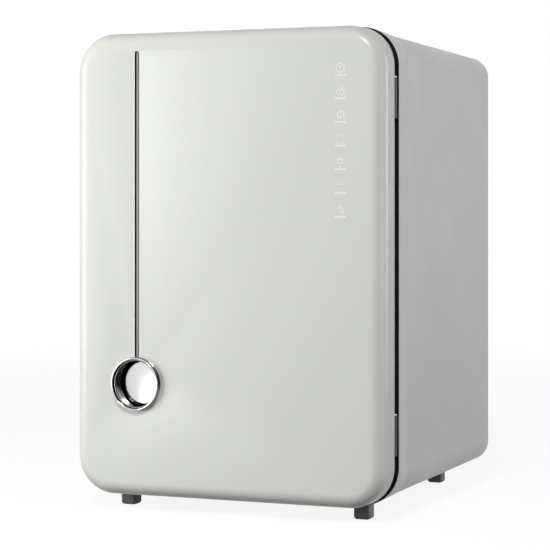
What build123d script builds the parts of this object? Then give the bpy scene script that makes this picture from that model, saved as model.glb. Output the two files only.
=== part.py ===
from build123d import *
import os

os.makedirs("parts", exist_ok=True)

# Driving dimensions, millimetres
body_width = 339.0
body_height = 470.0
body_depth = 352.0
foot_height = 15.0

door_thickness = 31.0
door_corner = 39.5
door_edge = 14.0
door_wall = 3.0
door_front_wall = 3.5
door_gap = 10.0

frame_depth = 34.0
frame_wall = 3.0
frame_proud = 1.0
frame_corner_front = 40.0
frame_back_inset = 3.5
frame_corner_back = 27.0

casing_wall = 2.5
casing_front_inset = 4.1
casing_corner_front = 26.4
casing_back_inset = 11.0
casing_corner_back = 22.5
casing_parting = 0.4

chamber_half_width = 138.0
chamber_low = 52.0
chamber_high = 436.0
chamber_corner = 12.0
liner_wall = 1.2

ring_proud = 6.0
ring_outer = 26.75
ring_inner = 23.3
ring_x = -98.0
ring_z = 129.3

groove_width = 5.5
groove_top = 466.0
groove_depth = 2.4

hinge_side_inset = 3.0
hinge_barrel_radius = 3.4
hinge_pin_radius = 1.5
hinge_running_fit = 0.05
hinge_half_height = 20.0
hinge_knuckle_half = 7.0
hinge_spread = 165.0

foot_width = 16.5
foot_length = 16.0
front_foot_set_back = 0.5
rear_foot_length = 15.0
rear_foot_set_back = 5.0
foot_corner = 2.4
foot_chamfer = 2.0
front_foot_x = 130.0
rear_foot_x = 101.0
foot_screw_radius = 1.9
foot_screw_head = 3.6
foot_screw_low = 3.0
foot_screw_head_height = 2.6
foot_screw_fit = 0.1
front_screw_tip = 22.0
rear_screw_tip = 33.0

# How far a cutter runs past a face, and the cross in a screw's head as shares of its radius and height
overcut = 1.0
cross_length = 1.2
cross_width = 0.25
cross_depth = 0.5

# Places that follow from them. The front faces -Y and the floor is z = 0
mid_z = foot_height + body_height / 2
y_ring = -(body_depth + ring_proud) / 2
y_face = y_ring + ring_proud
y_door_back = y_face + door_thickness
y_frame = y_door_back + door_gap
y_frame_back = y_frame + frame_depth
y_casing = y_frame_back + casing_parting
y_back = (body_depth + ring_proud) / 2
hinge_x = body_width / 2 - hinge_side_inset
hinge_y = (y_door_back + y_frame) / 2
hinge_heights = (mid_z - hinge_spread, mid_z + hinge_spread)
chamber_mid = (chamber_low + chamber_high) / 2
chamber_height = chamber_high - chamber_low
y_liner_back = 127.0
front_foot_y = y_frame + front_foot_set_back + foot_length / 2
rear_foot_y = y_back - rear_foot_set_back - rear_foot_length / 2


def front_plane(y, x=0.0, z=mid_z):
    """A plane that faces the front, with its own x to the right and its own y upwards."""
    return Plane(origin=(x, y, z), x_dir=(1, 0, 0), z_dir=(0, -1, 0))


def level_plane(z, x=0.0, y=0.0):
    return Plane(origin=(x, y, z), x_dir=(1, 0, 0), z_dir=(0, 0, 1))


def side_plane(x, y=0.0, z=0.0):
    """A plane that faces +X, with its own x to the back and its own y upwards."""
    return Plane(origin=(x, y, z), x_dir=(0, 1, 0), z_dir=(1, 0, 0))


def body_section(y, inset, corner):
    """The cabinet's rounded outline at depth y, drawn in by inset."""
    with BuildSketch(front_plane(y)) as section:
        RectangleRounded(body_width - 2 * inset, body_height - 2 * inset, corner)
    return section.sketch


def rounded_ring(y_front, y_rear, outer_inset, inner_inset, corner):
    """A ring of the cabinet's outline between two insets."""
    with BuildPart() as ring:
        extrude(to_extrude=body_section(y_front, outer_inset, corner - outer_inset), amount=y_front - y_rear)
        extrude(
            to_extrude=body_section(y_front, inner_inset, corner - inner_inset),
            amount=y_front - y_rear,
            mode=Mode.SUBTRACT,
        )
    return ring.part


# Door, front cover: a deep tray with a soft front edge
with BuildPart() as door_hollow:
    extrude(
        to_extrude=body_section(y_door_back, door_wall, door_corner - door_wall),
        amount=door_thickness - door_front_wall,
    )
    fillet(door_hollow.faces().sort_by(Axis.Y)[0].edges(), radius=door_edge - door_wall)

cup_radius = 24.3
cup_wall = 1.2
cup_fit = 0.1
cup_hole_radius = cup_radius + cup_wall + cup_fit
disc_radius = 21.7
disc_depth = 15.8
disc_thickness = 2.0
disc_chamfer = 0.5
cup_floor = 1.5
cup_round = 2.0
y_disc = y_face + disc_depth
groove_bottom = ring_z + ring_outer
groove_low = groove_bottom - 4.0
groove_half = groove_width / 2
groove_shoulder = groove_top - groove_half

with BuildPart() as door_outer_panel:
    extrude(to_extrude=body_section(y_door_back, 0, door_corner), amount=door_thickness)
    fillet(door_outer_panel.faces().sort_by(Axis.Y)[0].edges(), radius=door_edge)
    add(door_hollow.part, mode=Mode.SUBTRACT)
    with BuildSketch(front_plane(y_face, ring_x, ring_z)):
        Circle(cup_hole_radius)
    extrude(amount=-door_front_wall - overcut, mode=Mode.SUBTRACT)
    with BuildSketch(front_plane(y_face, ring_x, 0)):
        with BuildLine():
            Line((-groove_half, groove_low), (groove_half, groove_low))
            Line((groove_half, groove_low), (groove_half, groove_shoulder))
            ThreePointArc((groove_half, groove_shoulder), (0, groove_top), (-groove_half, groove_shoulder))
            Line((-groove_half, groove_shoulder), (-groove_half, groove_low))
        make_face()
    extrude(amount=-groove_depth, mode=Mode.SUBTRACT)
door_outer_panel.part.label = "door_outer_panel"
export_step(door_outer_panel.part, "parts/door_outer_panel.step")

# Door, back panel: a plate with a rim that goes into the cover and a raised middle field
panel_inset = door_wall + 0.2
panel_plate = 2.5
panel_rim_inset = panel_inset + 3.0
panel_rim_wall = 2.0
panel_rim_depth = 14.0
panel_rim_root = 1.0
field_inset = 31.0
field_rise = 6.0
field_corner = 14.0
field_round = 2.5
with BuildPart() as door_inner_panel:
    extrude(to_extrude=body_section(y_door_back, panel_inset, door_corner - panel_inset), amount=panel_plate)
    add(
        rounded_ring(
            y_door_back - panel_rim_depth,
            y_door_back - panel_rim_root,
            panel_rim_inset,
            panel_rim_inset + panel_rim_wall,
            door_corner,
        )
    )
    extrude(to_extrude=body_section(y_door_back, field_inset, field_corner), amount=-field_rise)
    fillet(door_inner_panel.faces().sort_by(Axis.Y)[-1].edges(), radius=field_round)
    field_floor = y_door_back + field_rise - panel_plate
    extrude(
        to_extrude=body_section(field_floor, field_inset + panel_plate, field_corner - panel_plate),
        amount=field_rise + overcut,
        mode=Mode.SUBTRACT,
    )
door_inner_panel.part.label = "door_inner_panel"
export_step(door_inner_panel.part, "parts/door_inner_panel.step")

# Door, dark trim that fills the seam, let out where the hinges stand
trim_inset = 1.0
trim_width = 7.0
trim_rise = 8.5
trim_round = 1.2
hinge_clearance = 2.5
hinge_recess = (20.0, 14.0)
hinge_recess_x = hinge_x - 4.0
with BuildPart() as door_trim:
    add(rounded_ring(y_door_back, y_door_back + trim_rise, trim_inset, trim_inset + trim_width, door_corner))
    fillet(door_trim.faces().sort_by(Axis.Y)[-1].outer_wire().edges(), radius=trim_round)
    for height in hinge_heights:
        with Locations((hinge_recess_x, hinge_y, height)):
            Box(*hinge_recess, 2 * (hinge_half_height + hinge_clearance), mode=Mode.SUBTRACT)
door_trim.part.label = "door_trim"
export_step(door_trim.part, "parts/door_trim.step")

# Door, soft seal that closes the chamber
gasket_inset = 18.0
gasket_width = 9.0
gasket_rise = 9.5
gasket_round = 2.6
with BuildPart() as door_gasket:
    add(
        rounded_ring(
            y_door_back, y_door_back + gasket_rise, gasket_inset, gasket_inset + gasket_width, door_corner
        )
    )
    fillet(door_gasket.faces().sort_by(Axis.Y)[-1].edges(), radius=gasket_round)
door_gasket.part.label = "door_gasket"
export_step(door_gasket.part, "parts/door_gasket.step")

# Door, bright channel strip in the groove
strip_fit = 0.1
strip_width = groove_width - 2 * strip_fit
strip_top = groove_top - strip_fit
strip_end_wall = 1.2
strip_end_round = strip_width / 2 - 0.01
strip_lip = 0.4
channel_width = 3.4
channel_depth = 1.9
with BuildPart() as groove_strip:
    with BuildSketch(front_plane(y_face + groove_depth, ring_x, 0)):
        with Locations((0, (groove_bottom + strip_top) / 2)):
            Rectangle(strip_width, strip_top - groove_bottom)
    extrude(amount=groove_depth + strip_lip)
    fillet(groove_strip.edges().filter_by(Axis.Y).group_by(Axis.Z)[-1], radius=strip_end_round)
    with BuildSketch(front_plane(y_face - strip_lip, ring_x, 0)):
        with Locations((0, (groove_bottom + groove_top) / 2 - strip_end_wall)):
            Rectangle(channel_width, groove_top - groove_bottom)
    extrude(amount=-channel_depth, mode=Mode.SUBTRACT)
groove_strip.part.label = "groove_strip"
export_step(groove_strip.part, "parts/groove_strip.step")

# Handle: bright ring, deep cup for the fingers and a disc on its floor
ring_crown = 1.6
y_crown = y_ring + ring_crown
ring_middle = (ring_outer + ring_inner) / 2
with BuildPart() as handle_ring:
    with BuildSketch(level_plane(ring_z, ring_x, 0)):
        with BuildLine():
            Line((ring_inner, y_face), (ring_outer, y_face))
            Line((ring_outer, y_face), (ring_outer, y_crown))
            ThreePointArc((ring_outer, y_crown), (ring_middle, y_ring), (ring_inner, y_crown))
            Line((ring_inner, y_crown), (ring_inner, y_face))
        make_face()
    revolve(axis=Axis((ring_x, 0, ring_z), (0, 1, 0)))
handle_ring.part.label = "handle_ring"
export_step(handle_ring.part, "parts/handle_ring.step")

with BuildPart() as handle_cup:
    with BuildSketch(front_plane(y_face, ring_x, ring_z)):
        Circle(cup_radius + cup_wall)
    extrude(amount=-disc_depth - disc_thickness - cup_floor)
    fillet(handle_cup.faces().sort_by(Axis.Y)[-1].edges(), radius=cup_round)
    with BuildSketch(front_plane(y_face, ring_x, ring_z)):
        Circle(cup_radius)
    extrude(amount=-disc_depth - disc_thickness, mode=Mode.SUBTRACT)
handle_cup.part.label = "handle_cup"
export_step(handle_cup.part, "parts/handle_cup.step")

with BuildPart() as handle_disc:
    with BuildSketch(front_plane(y_disc + disc_thickness, ring_x, ring_z)):
        Circle(disc_radius)
    extrude(amount=disc_thickness)
    chamfer(handle_disc.faces().sort_by(Axis.Y)[0].edges(), length=disc_chamfer)
handle_disc.part.label = "handle_disc"
export_step(handle_disc.part, "parts/handle_disc.step")

# Touch board behind the column of icons
icon_x = 125.0
icon_top = 443.2
icon_pitch = 22.85
icon_count = 7
icon_middle = icon_top - icon_pitch * (icon_count - 1) / 2
touch_board_plate = 1.6
touch_board_size = (30.0, icon_pitch * icon_count + 14.0)
touch_board_corner = 2.0
touch_pad = 9.0
touch_pad_height = 3.0
touch_connector = (20.0, 6.0)
touch_connector_z = icon_top + 12.0
y_touch_board = y_face + door_front_wall + touch_board_plate
with BuildPart() as touch_board:
    with BuildSketch(front_plane(y_touch_board, icon_x, 0)):
        with Locations((0, icon_middle)):
            RectangleRounded(*touch_board_size, touch_board_corner)
    extrude(amount=touch_board_plate)
    with BuildSketch(front_plane(y_touch_board, icon_x, 0)):
        with Locations([(0, icon_top - icon_pitch * n) for n in range(icon_count)]):
            Rectangle(touch_pad, touch_pad)
        with Locations((0, touch_connector_z)):
            Rectangle(*touch_connector)
    extrude(amount=-touch_pad_height)
touch_board.part.label = "touch_board"
export_step(touch_board.part, "parts/touch_board.step")

# Hinges: a fixed leaf with two outer knuckles, a door leaf with the middle one, and a pin
leaf_plate = 1.5
leaf_inner_x = 153.0
leaf_notch_gap = 0.8
leaf_notch_x = hinge_x - hinge_barrel_radius - leaf_notch_gap
leaf_web = 2.4
knuckle_gap = 0.3
leaf_hole_x = 157.6
leaf_hole_radius = 1.6
leaf_hole_offsets = (-13.0, 13.0)
leaf_screw_head = 2.8
leaf_screw_head_height = 1.0
pin_head_radius = hinge_barrel_radius - 0.4
pin_head_height = 1.4
pin_head_round = 0.8


def hinge_leaf(height, y_plate_near, y_plate_far, knuckles, bore):
    """One leaf: its plate lies between two depths and knuckles are (low, high) spans about height."""
    y_low, y_high = sorted((y_plate_near, y_plate_far))
    with BuildPart() as leaf:
        with Locations(((leaf_inner_x + leaf_notch_x) / 2, (y_low + y_high) / 2, height)):
            Box(leaf_notch_x - leaf_inner_x, y_high - y_low, 2 * hinge_half_height)
        for low, high in knuckles:
            middle = height + (low + high) / 2
            y_web_low = min(y_low, hinge_y)
            y_web_high = max(y_high, hinge_y)
            with Locations(((leaf_notch_x + hinge_x) / 2, (y_low + y_high) / 2, middle)):
                Box(hinge_x - leaf_notch_x, y_high - y_low, high - low)
            with Locations((hinge_x - leaf_web / 2, (y_web_low + y_web_high) / 2, middle)):
                Box(leaf_web, y_web_high - y_web_low, high - low)
            with BuildSketch(level_plane(height + low, hinge_x, hinge_y)):
                Circle(hinge_barrel_radius)
            extrude(amount=high - low)
        with BuildSketch(level_plane(height - hinge_half_height - overcut, hinge_x, hinge_y)):
            Circle(bore)
        extrude(amount=2 * (hinge_half_height + overcut), mode=Mode.SUBTRACT)
        with BuildSketch(front_plane(y_low - overcut, leaf_hole_x, height)):
            with Locations([(0, offset) for offset in leaf_hole_offsets]):
                Circle(leaf_hole_radius)
        extrude(amount=y_low - y_high - 2 * overcut, mode=Mode.SUBTRACT)
    return leaf.part


outer_knuckles = (
    (-hinge_half_height, -hinge_knuckle_half - knuckle_gap),
    (hinge_knuckle_half + knuckle_gap, hinge_half_height),
)
middle_knuckle = ((-hinge_knuckle_half, hinge_knuckle_half),)
for place, height in zip(("lower", "upper"), hinge_heights):
    fixed_leaf = hinge_leaf(height, y_frame - leaf_plate, y_frame, outer_knuckles, hinge_pin_radius)
    fixed_leaf.label = f"{place}_hinge_fixed_leaf"
    export_step(fixed_leaf, f"parts/{place}_hinge_fixed_leaf.step")

    door_leaf = hinge_leaf(
        height, y_door_back, y_door_back + leaf_plate, middle_knuckle, hinge_pin_radius + hinge_running_fit
    )
    door_leaf.label = f"{place}_hinge_door_leaf"
    export_step(door_leaf, f"parts/{place}_hinge_door_leaf.step")

    with BuildPart() as hinge_pin:
        with BuildSketch(level_plane(height - hinge_half_height, hinge_x, hinge_y)):
            Circle(hinge_pin_radius)
        extrude(amount=2 * hinge_half_height)
        with BuildSketch(level_plane(height + hinge_half_height, hinge_x, hinge_y)):
            Circle(pin_head_radius)
        extrude(amount=pin_head_height)
        fillet(hinge_pin.edges().sort_by(Axis.Z)[-1], radius=pin_head_round)
    hinge_pin.part.label = f"{place}_hinge_pin"
    export_step(hinge_pin.part, f"parts/{place}_hinge_pin.step")


def flat_screws(planes, shank, head, shank_length, head_height):
    """Separate screws, heads on each plane's outer side and shanks going in."""
    with BuildPart() as screws:
        for plane in planes:
            with BuildSketch(plane):
                Circle(head)
            extrude(amount=head_height)
            with BuildSketch(plane):
                Circle(shank)
            extrude(amount=-shank_length)
            with BuildSketch(plane.offset(head_height)):
                Rectangle(head * cross_length, head * cross_width)
                Rectangle(head * cross_width, head * cross_length)
            extrude(amount=-head_height * cross_depth, mode=Mode.SUBTRACT)
    return screws.part


def back_plane(y, x, z):
    """A plane that faces the back."""
    return Plane(origin=(x, y, z), x_dir=(-1, 0, 0), z_dir=(0, 1, 0))


leaf_screw_places = [
    (leaf_hole_x, height + offset) for height in hinge_heights for offset in leaf_hole_offsets
]
frame_hinge_screws = flat_screws(
    [front_plane(y_frame - leaf_plate, x, z) for x, z in leaf_screw_places],
    leaf_hole_radius,
    leaf_screw_head,
    leaf_plate,
    leaf_screw_head_height,
)
frame_hinge_screws.label = "frame_hinge_screws"
export_step(frame_hinge_screws, "parts/frame_hinge_screws.step")

door_hinge_screws = flat_screws(
    [back_plane(y_door_back + leaf_plate, x, z) for x, z in leaf_screw_places],
    leaf_hole_radius,
    leaf_screw_head,
    leaf_plate,
    leaf_screw_head_height,
)
door_hinge_screws.label = "door_hinge_screws"
export_step(door_hinge_screws, "parts/door_hinge_screws.step")

# Magnetic catch: two magnets on the frame and their plates on the door
catch_inset = (trim_inset + trim_width + gasket_inset) / 2
catch_x = -body_width / 2 + catch_inset
catch_width = 7.2
catch_height = 34.0
catch_corner = 1.0
catch_spread = 120.0
catch_heights = (mid_z - catch_spread, mid_z + catch_spread)
strike_plate = 1.5
catch_air = 0.6
magnet_slot = (catch_width - 3.0, catch_height - 6.0)
magnet_slot_depth = 1.0
with BuildPart() as strike_plates:
    for height in catch_heights:
        with BuildSketch(front_plane(y_door_back, catch_x, height)):
            RectangleRounded(catch_width, catch_height, catch_corner)
        extrude(amount=-strike_plate)
strike_plates.part.label = "strike_plates"
export_step(strike_plates.part, "parts/strike_plates.step")

with BuildPart() as door_magnets:
    for height in catch_heights:
        with BuildSketch(front_plane(y_frame, catch_x, height)):
            RectangleRounded(catch_width, catch_height, catch_corner)
        extrude(amount=door_gap - strike_plate - catch_air)
        with BuildSketch(front_plane(y_door_back + strike_plate + catch_air, catch_x, height)):
            Rectangle(*magnet_slot)
        extrude(amount=-magnet_slot_depth, mode=Mode.SUBTRACT)
door_magnets.part.label = "door_magnets"
export_step(door_magnets.part, "parts/door_magnets.step")

# Front frame: a flat face for the seal and a side that draws in to meet the casing
lip_front = y_frame_back - 6.0
lip_back = y_frame_back + 10.0
lip_outer_inset = 7.0
lip_inner_inset = 9.0
lip_corner = frame_corner_back + 4.0
frame_inner_inset = lip_outer_inset + 0.6
liner_fit = 0.1
liner_outer_half = chamber_half_width + liner_wall
liner_outer_height = chamber_height + 2 * liner_wall
switch_x = -100.0
switch_z = foot_height + body_height - catch_inset
switch_housing = (14.0, 7.6)
with BuildPart() as frame_outer:
    loft(
        sections=[
            body_section(y_frame, -frame_proud, frame_corner_front),
            body_section(y_frame_back, frame_back_inset, frame_corner_back),
        ]
    )

with BuildPart() as front_frame:
    add(frame_outer.part)
    loft(
        sections=[
            body_section(y_frame + frame_wall, frame_wall - frame_proud, frame_corner_front - frame_wall),
            body_section(y_frame_back, frame_inner_inset, frame_corner_back - frame_wall),
        ],
        mode=Mode.SUBTRACT,
    )
    add(rounded_ring(lip_front, lip_back, lip_outer_inset, lip_inner_inset, lip_corner))
    with BuildSketch(front_plane(y_frame, 0, chamber_mid)):
        RectangleRounded(
            2 * liner_outer_half + liner_fit, liner_outer_height + liner_fit, chamber_corner + liner_wall
        )
    extrude(amount=-frame_wall - overcut, mode=Mode.SUBTRACT)
    with BuildSketch(front_plane(y_frame, switch_x, switch_z)):
        Rectangle(*switch_housing)
    extrude(amount=-frame_wall - overcut, mode=Mode.SUBTRACT)
    for side in (-1, 1):
        with BuildSketch(level_plane(0, side * front_foot_x, front_foot_y)):
            Circle(foot_screw_radius + foot_screw_fit)
        extrude(amount=front_screw_tip, mode=Mode.SUBTRACT)
front_frame.part.label = "front_frame"
export_step(front_frame.part, "parts/front_frame.step")

# Outer casing: one wrap that draws in slightly towards the back, with a flange for the rear cover
flange_front = 171.0
flange_back = 173.0
cover_back = 175.5
cover_inset = 13.9
cover_corner = 19.6
flange_inner_inset = 25.0
flange_corner = 10.0
casing_rear_round = 2.2


def casing_skin(offset):
    """The casing's outline offset inwards, as a solid."""
    with BuildPart() as skin:
        loft(
            sections=[
                body_section(y_casing, casing_front_inset + offset, casing_corner_front - offset),
                body_section(y_back, casing_back_inset + offset, casing_corner_back - offset),
            ]
        )
    return skin.part


with BuildPart() as casing_outer:
    add(casing_skin(0))
    fillet(casing_outer.faces().sort_by(Axis.Y)[-1].edges(), radius=casing_rear_round)

casing_void = casing_skin(casing_wall)
with BuildPart() as casing_flange:
    flange_depth = flange_front - flange_back
    extrude(to_extrude=body_section(flange_front, casing_back_inset, casing_corner_back), amount=flange_depth)
    extrude(
        to_extrude=body_section(flange_front, flange_inner_inset, flange_corner),
        amount=flange_depth,
        mode=Mode.SUBTRACT,
    )
    add(casing_outer.part, mode=Mode.INTERSECT)

with BuildPart() as outer_casing:
    add(casing_outer.part)
    add(casing_void, mode=Mode.SUBTRACT)
    add(casing_flange.part)
    for side in (-1, 1):
        with BuildSketch(level_plane(0, side * rear_foot_x, rear_foot_y)):
            Circle(foot_screw_radius + foot_screw_fit)
        extrude(amount=rear_screw_tip, mode=Mode.SUBTRACT)
outer_casing.part.label = "outer_casing"
export_step(outer_casing.part, "parts/outer_casing.step")

# Chamber liner: a stainless box, open at the front, with an air opening at the back
fan_z = 330.0
air_opening = (104.0, 84.0)
with BuildPart() as chamber_liner:
    with BuildSketch(front_plane(y_frame, 0, chamber_mid)):
        RectangleRounded(2 * liner_outer_half, liner_outer_height, chamber_corner + liner_wall)
    extrude(amount=y_frame - y_liner_back - liner_wall)
    with BuildSketch(front_plane(y_frame, 0, chamber_mid)):
        RectangleRounded(2 * chamber_half_width, chamber_height, chamber_corner)
    extrude(amount=y_frame - y_liner_back, mode=Mode.SUBTRACT)
    with BuildSketch(front_plane(y_liner_back - overcut, 0, fan_z)):
        Rectangle(*air_opening)
    extrude(amount=-liner_wall - 2 * overcut, mode=Mode.SUBTRACT)
chamber_liner.part.label = "chamber_liner"
export_step(chamber_liner.part, "parts/chamber_liner.step")

# Two blocks that carry the liner on the casing's floor
support_x = 100.0
support_width = 14.0
support_span = (-80.0, 120.0)
with BuildPart() as liner_supports:
    for side in (-1, 1):
        with BuildSketch(level_plane(foot_height, side * support_x, sum(support_span) / 2)):
            Rectangle(support_width, support_span[1] - support_span[0])
        extrude(amount=chamber_low - liner_wall - foot_height)
    add(casing_void, mode=Mode.INTERSECT)
liner_supports.part.label = "liner_supports"
export_step(liner_supports.part, "parts/liner_supports.step")

# Feet: rubber blocks cut to the underside that they hang from
front_foot_top = foot_height + 6.0
rear_foot_top = foot_height + 16.0
foot_counterbore = foot_screw_head + 0.3
foot_cross_depth = 0.9
with BuildPart() as front_feet:
    for side in (-1, 1):
        with BuildSketch(level_plane(0, side * front_foot_x, front_foot_y)):
            RectangleRounded(foot_width, foot_length, foot_corner)
        extrude(amount=front_foot_top)
    chamfer(front_feet.faces().group_by(Axis.Z)[0].edges(), length=foot_chamfer)
    for side in (-1, 1):
        with BuildSketch(level_plane(0, side * front_foot_x, front_foot_y)):
            Circle(foot_counterbore)
        extrude(amount=foot_screw_low + foot_screw_head_height, mode=Mode.SUBTRACT)
        with BuildSketch(level_plane(0, side * front_foot_x, front_foot_y)):
            Circle(foot_screw_radius)
        extrude(amount=front_foot_top, mode=Mode.SUBTRACT)
    add(frame_outer.part, mode=Mode.SUBTRACT)
front_feet.part.label = "front_feet"
export_step(front_feet.part, "parts/front_feet.step")

with BuildPart() as rear_feet:
    for side in (-1, 1):
        with BuildSketch(level_plane(0, side * rear_foot_x, rear_foot_y)):
            RectangleRounded(foot_width, rear_foot_length, foot_corner)
        extrude(amount=rear_foot_top)
    chamfer(rear_feet.faces().group_by(Axis.Z)[0].edges(), length=foot_chamfer)
    for side in (-1, 1):
        with BuildSketch(level_plane(0, side * rear_foot_x, rear_foot_y)):
            Circle(foot_counterbore)
        extrude(amount=foot_screw_low + foot_screw_head_height, mode=Mode.SUBTRACT)
        with BuildSketch(level_plane(0, side * rear_foot_x, rear_foot_y)):
            Circle(foot_screw_radius)
        extrude(amount=rear_foot_top, mode=Mode.SUBTRACT)
    add(casing_outer.part, mode=Mode.SUBTRACT)
rear_feet.part.label = "rear_feet"
export_step(rear_feet.part, "parts/rear_feet.step")

with BuildPart() as foot_screws:
    for x, y, tip in (
        (front_foot_x, front_foot_y, front_screw_tip),
        (-front_foot_x, front_foot_y, front_screw_tip),
        (rear_foot_x, rear_foot_y, rear_screw_tip),
        (-rear_foot_x, rear_foot_y, rear_screw_tip),
    ):
        with BuildSketch(level_plane(foot_screw_low, x, y)):
            Circle(foot_screw_head)
        extrude(amount=foot_screw_head_height)
        with BuildSketch(level_plane(foot_screw_low, x, y)):
            Circle(foot_screw_radius)
        extrude(amount=tip - foot_screw_low)
        with BuildSketch(level_plane(foot_screw_low, x, y)):
            Rectangle(foot_screw_head * cross_length, foot_screw_head * cross_width)
            Rectangle(foot_screw_head * cross_width, foot_screw_head * cross_length)
        extrude(amount=foot_cross_depth, mode=Mode.SUBTRACT)
foot_screws.part.label = "foot_screws"
export_step(foot_screws.part, "parts/foot_screws.step")

# Rear cover: a plate with vents, an opening for the filter and one for the power inlet
filter_z = fan_z
filter_opening = 104.0
filter_opening_corner = 4.0
inlet_x = -105.0
inlet_z = 82.0
inlet_body = (28.0, 20.0)
inlet_corner = 2.0
inlet_fit = 0.1
vent_slot = (42.0, 3.2)
vent_pitch = 7.0
lower_vents = ((20.0, 110.0), (90.0, 110.0), (20.0, 170.0), (90.0, 170.0))
lower_vent_rows = 7
upper_vents = ((-60.0, 432.0), (0.0, 432.0), (60.0, 432.0))
upper_vent_rows = 4
cover_screw_inset = 19.5
cover_screw_radius = 1.8
cover_screw_head = 3.4
cover_screw_head_height = 1.6
cover_screw_x = body_width / 2 - cover_screw_inset
cover_screw_rise = body_height / 2 - cover_screw_inset
cover_screw_rises = (-160.0, 0.0, 160.0)
cover_end_screw_x = 70.0
cover_side_screws = [(side * cover_screw_x, mid_z + rise) for side in (-1, 1) for rise in cover_screw_rises]
cover_end_screws = [
    (side * cover_end_screw_x, mid_z + end * cover_screw_rise) for side in (-1, 1) for end in (-1, 1)
]
cover_screw_places = cover_side_screws + cover_end_screws
with BuildPart() as rear_cover:
    extrude(to_extrude=body_section(flange_back, cover_inset, cover_corner), amount=flange_back - cover_back)
    with BuildSketch(front_plane(flange_back, 0, 0)):
        with Locations((0, filter_z)):
            RectangleRounded(filter_opening, filter_opening, filter_opening_corner)
        with Locations((inlet_x, inlet_z)):
            RectangleRounded(inlet_body[0] + 2 * inlet_fit, inlet_body[1] + 2 * inlet_fit, inlet_corner)
        with Locations(*lower_vents):
            with GridLocations(0, vent_pitch, 1, lower_vent_rows):
                SlotOverall(*vent_slot)
        with Locations(*upper_vents):
            with GridLocations(0, vent_pitch, 1, upper_vent_rows):
                SlotOverall(*vent_slot)
        with Locations(cover_screw_places):
            Circle(cover_screw_radius)
    extrude(amount=flange_back - cover_back - overcut, mode=Mode.SUBTRACT)
rear_cover.part.label = "rear_cover"
export_step(rear_cover.part, "parts/rear_cover.step")

rear_cover_screws = flat_screws(
    [back_plane(cover_back, x, z) for x, z in cover_screw_places],
    cover_screw_radius,
    cover_screw_head,
    cover_back - flange_back,
    cover_screw_head_height,
)
rear_cover_screws.label = "rear_cover_screws"
export_step(rear_cover_screws, "parts/rear_cover_screws.step")

# Filter cover: a louvred plate with a square spigot, and the foam pad inside it
filter_plate = 116.0
filter_plate_corner = 8.0
filter_plate_chamfer = 0.7
filter_plate_thickness = 2.0
filter_plate_front = cover_back + 0.3
filter_plate_back = filter_plate_front + filter_plate_thickness
spigot_front = 169.8
spigot_fit = 0.4
spigot_wall = 1.5
spigot_outer = filter_opening - 2 * spigot_fit
spigot_inner = spigot_outer - 2 * spigot_wall
spigot_outer_corner = 3.6
spigot_inner_corner = 2.4
louvre_slot = (40.0, 3.4)
louvre_pitch = (47.0, 7.4)
louvre_grid = (2, 12)
with BuildPart() as filter_cover:
    with BuildSketch(front_plane(filter_plate_front, 0, filter_z)):
        RectangleRounded(filter_plate, filter_plate, filter_plate_corner)
    extrude(amount=filter_plate_front - filter_plate_back)
    chamfer(filter_cover.faces().sort_by(Axis.Y)[-1].outer_wire().edges(), length=filter_plate_chamfer)
    with BuildSketch(front_plane(filter_plate_front, 0, filter_z)):
        RectangleRounded(spigot_outer, spigot_outer, spigot_outer_corner)
        RectangleRounded(spigot_inner, spigot_inner, spigot_inner_corner, mode=Mode.SUBTRACT)
    extrude(amount=filter_plate_front - spigot_front)
    with BuildSketch(front_plane(filter_plate_front, 0, filter_z)):
        with GridLocations(*louvre_pitch, *louvre_grid):
            SlotOverall(*louvre_slot)
    extrude(amount=-filter_plate_thickness - overcut, mode=Mode.SUBTRACT)
filter_cover.part.label = "filter_cover"
export_step(filter_cover.part, "parts/filter_cover.step")

filter_pad = spigot_inner - 0.8
filter_pad_corner = 2.0
filter_pad_thickness = 4.6
with BuildPart() as air_filter:
    with BuildSketch(front_plane(filter_plate_front, 0, filter_z)):
        RectangleRounded(filter_pad, filter_pad, filter_pad_corner)
    extrude(amount=filter_pad_thickness)
air_filter.part.label = "air_filter"
export_step(air_filter.part, "parts/air_filter.step")

# Power inlet: a snap-in socket with three flat pins in its recess
inlet_flange = (inlet_body[0] + 8.0, inlet_body[1] + 6.0)
inlet_flange_corner = 3.0
inlet_flange_back = cover_back + 2.0
inlet_front = 150.0
inlet_recess = 17.0
recess_half = 12.0
recess_half_height = 8.0
recess_shoulder = (7.0, 3.0)
pin_section = (2.0, 4.0)
pin_length = 14.0
pin_places = ((-7.0, -2.0), (7.0, -2.0), (0.0, 3.0))
with BuildPart() as power_inlet:
    with BuildSketch(front_plane(cover_back, inlet_x, inlet_z)):
        RectangleRounded(*inlet_flange, inlet_flange_corner)
    extrude(amount=cover_back - inlet_flange_back)
    with BuildSketch(front_plane(cover_back, inlet_x, inlet_z)):
        RectangleRounded(*inlet_body, inlet_corner)
    extrude(amount=cover_back - inlet_front)
    with BuildSketch(front_plane(inlet_flange_back, inlet_x, inlet_z)):
        with BuildLine():
            Polyline(
                (-recess_half, -recess_half_height),
                (recess_half, -recess_half_height),
                (recess_half, recess_shoulder[1]),
                (recess_shoulder[0], recess_half_height),
                (-recess_shoulder[0], recess_half_height),
                (-recess_half, recess_shoulder[1]),
                close=True,
            )
        make_face()
    extrude(amount=inlet_recess, mode=Mode.SUBTRACT)
    with BuildSketch(front_plane(inlet_flange_back - inlet_recess, inlet_x, inlet_z)):
        with Locations(*pin_places):
            Rectangle(*pin_section)
    extrude(amount=-pin_length)
power_inlet.part.label = "power_inlet"
export_step(power_inlet.part, "parts/power_inlet.step")

# Rails on the chamber's side walls
rail_base = 1.5
rail_span = (-112.0, 118.0)
rail_lower_width = 10.0
rail_upper_width = 6.0
rack_z = 300.0
basket_z = 178.0
rack_rod = 2.5
basket_rim = 1.0
slide_gap = 0.5


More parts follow.
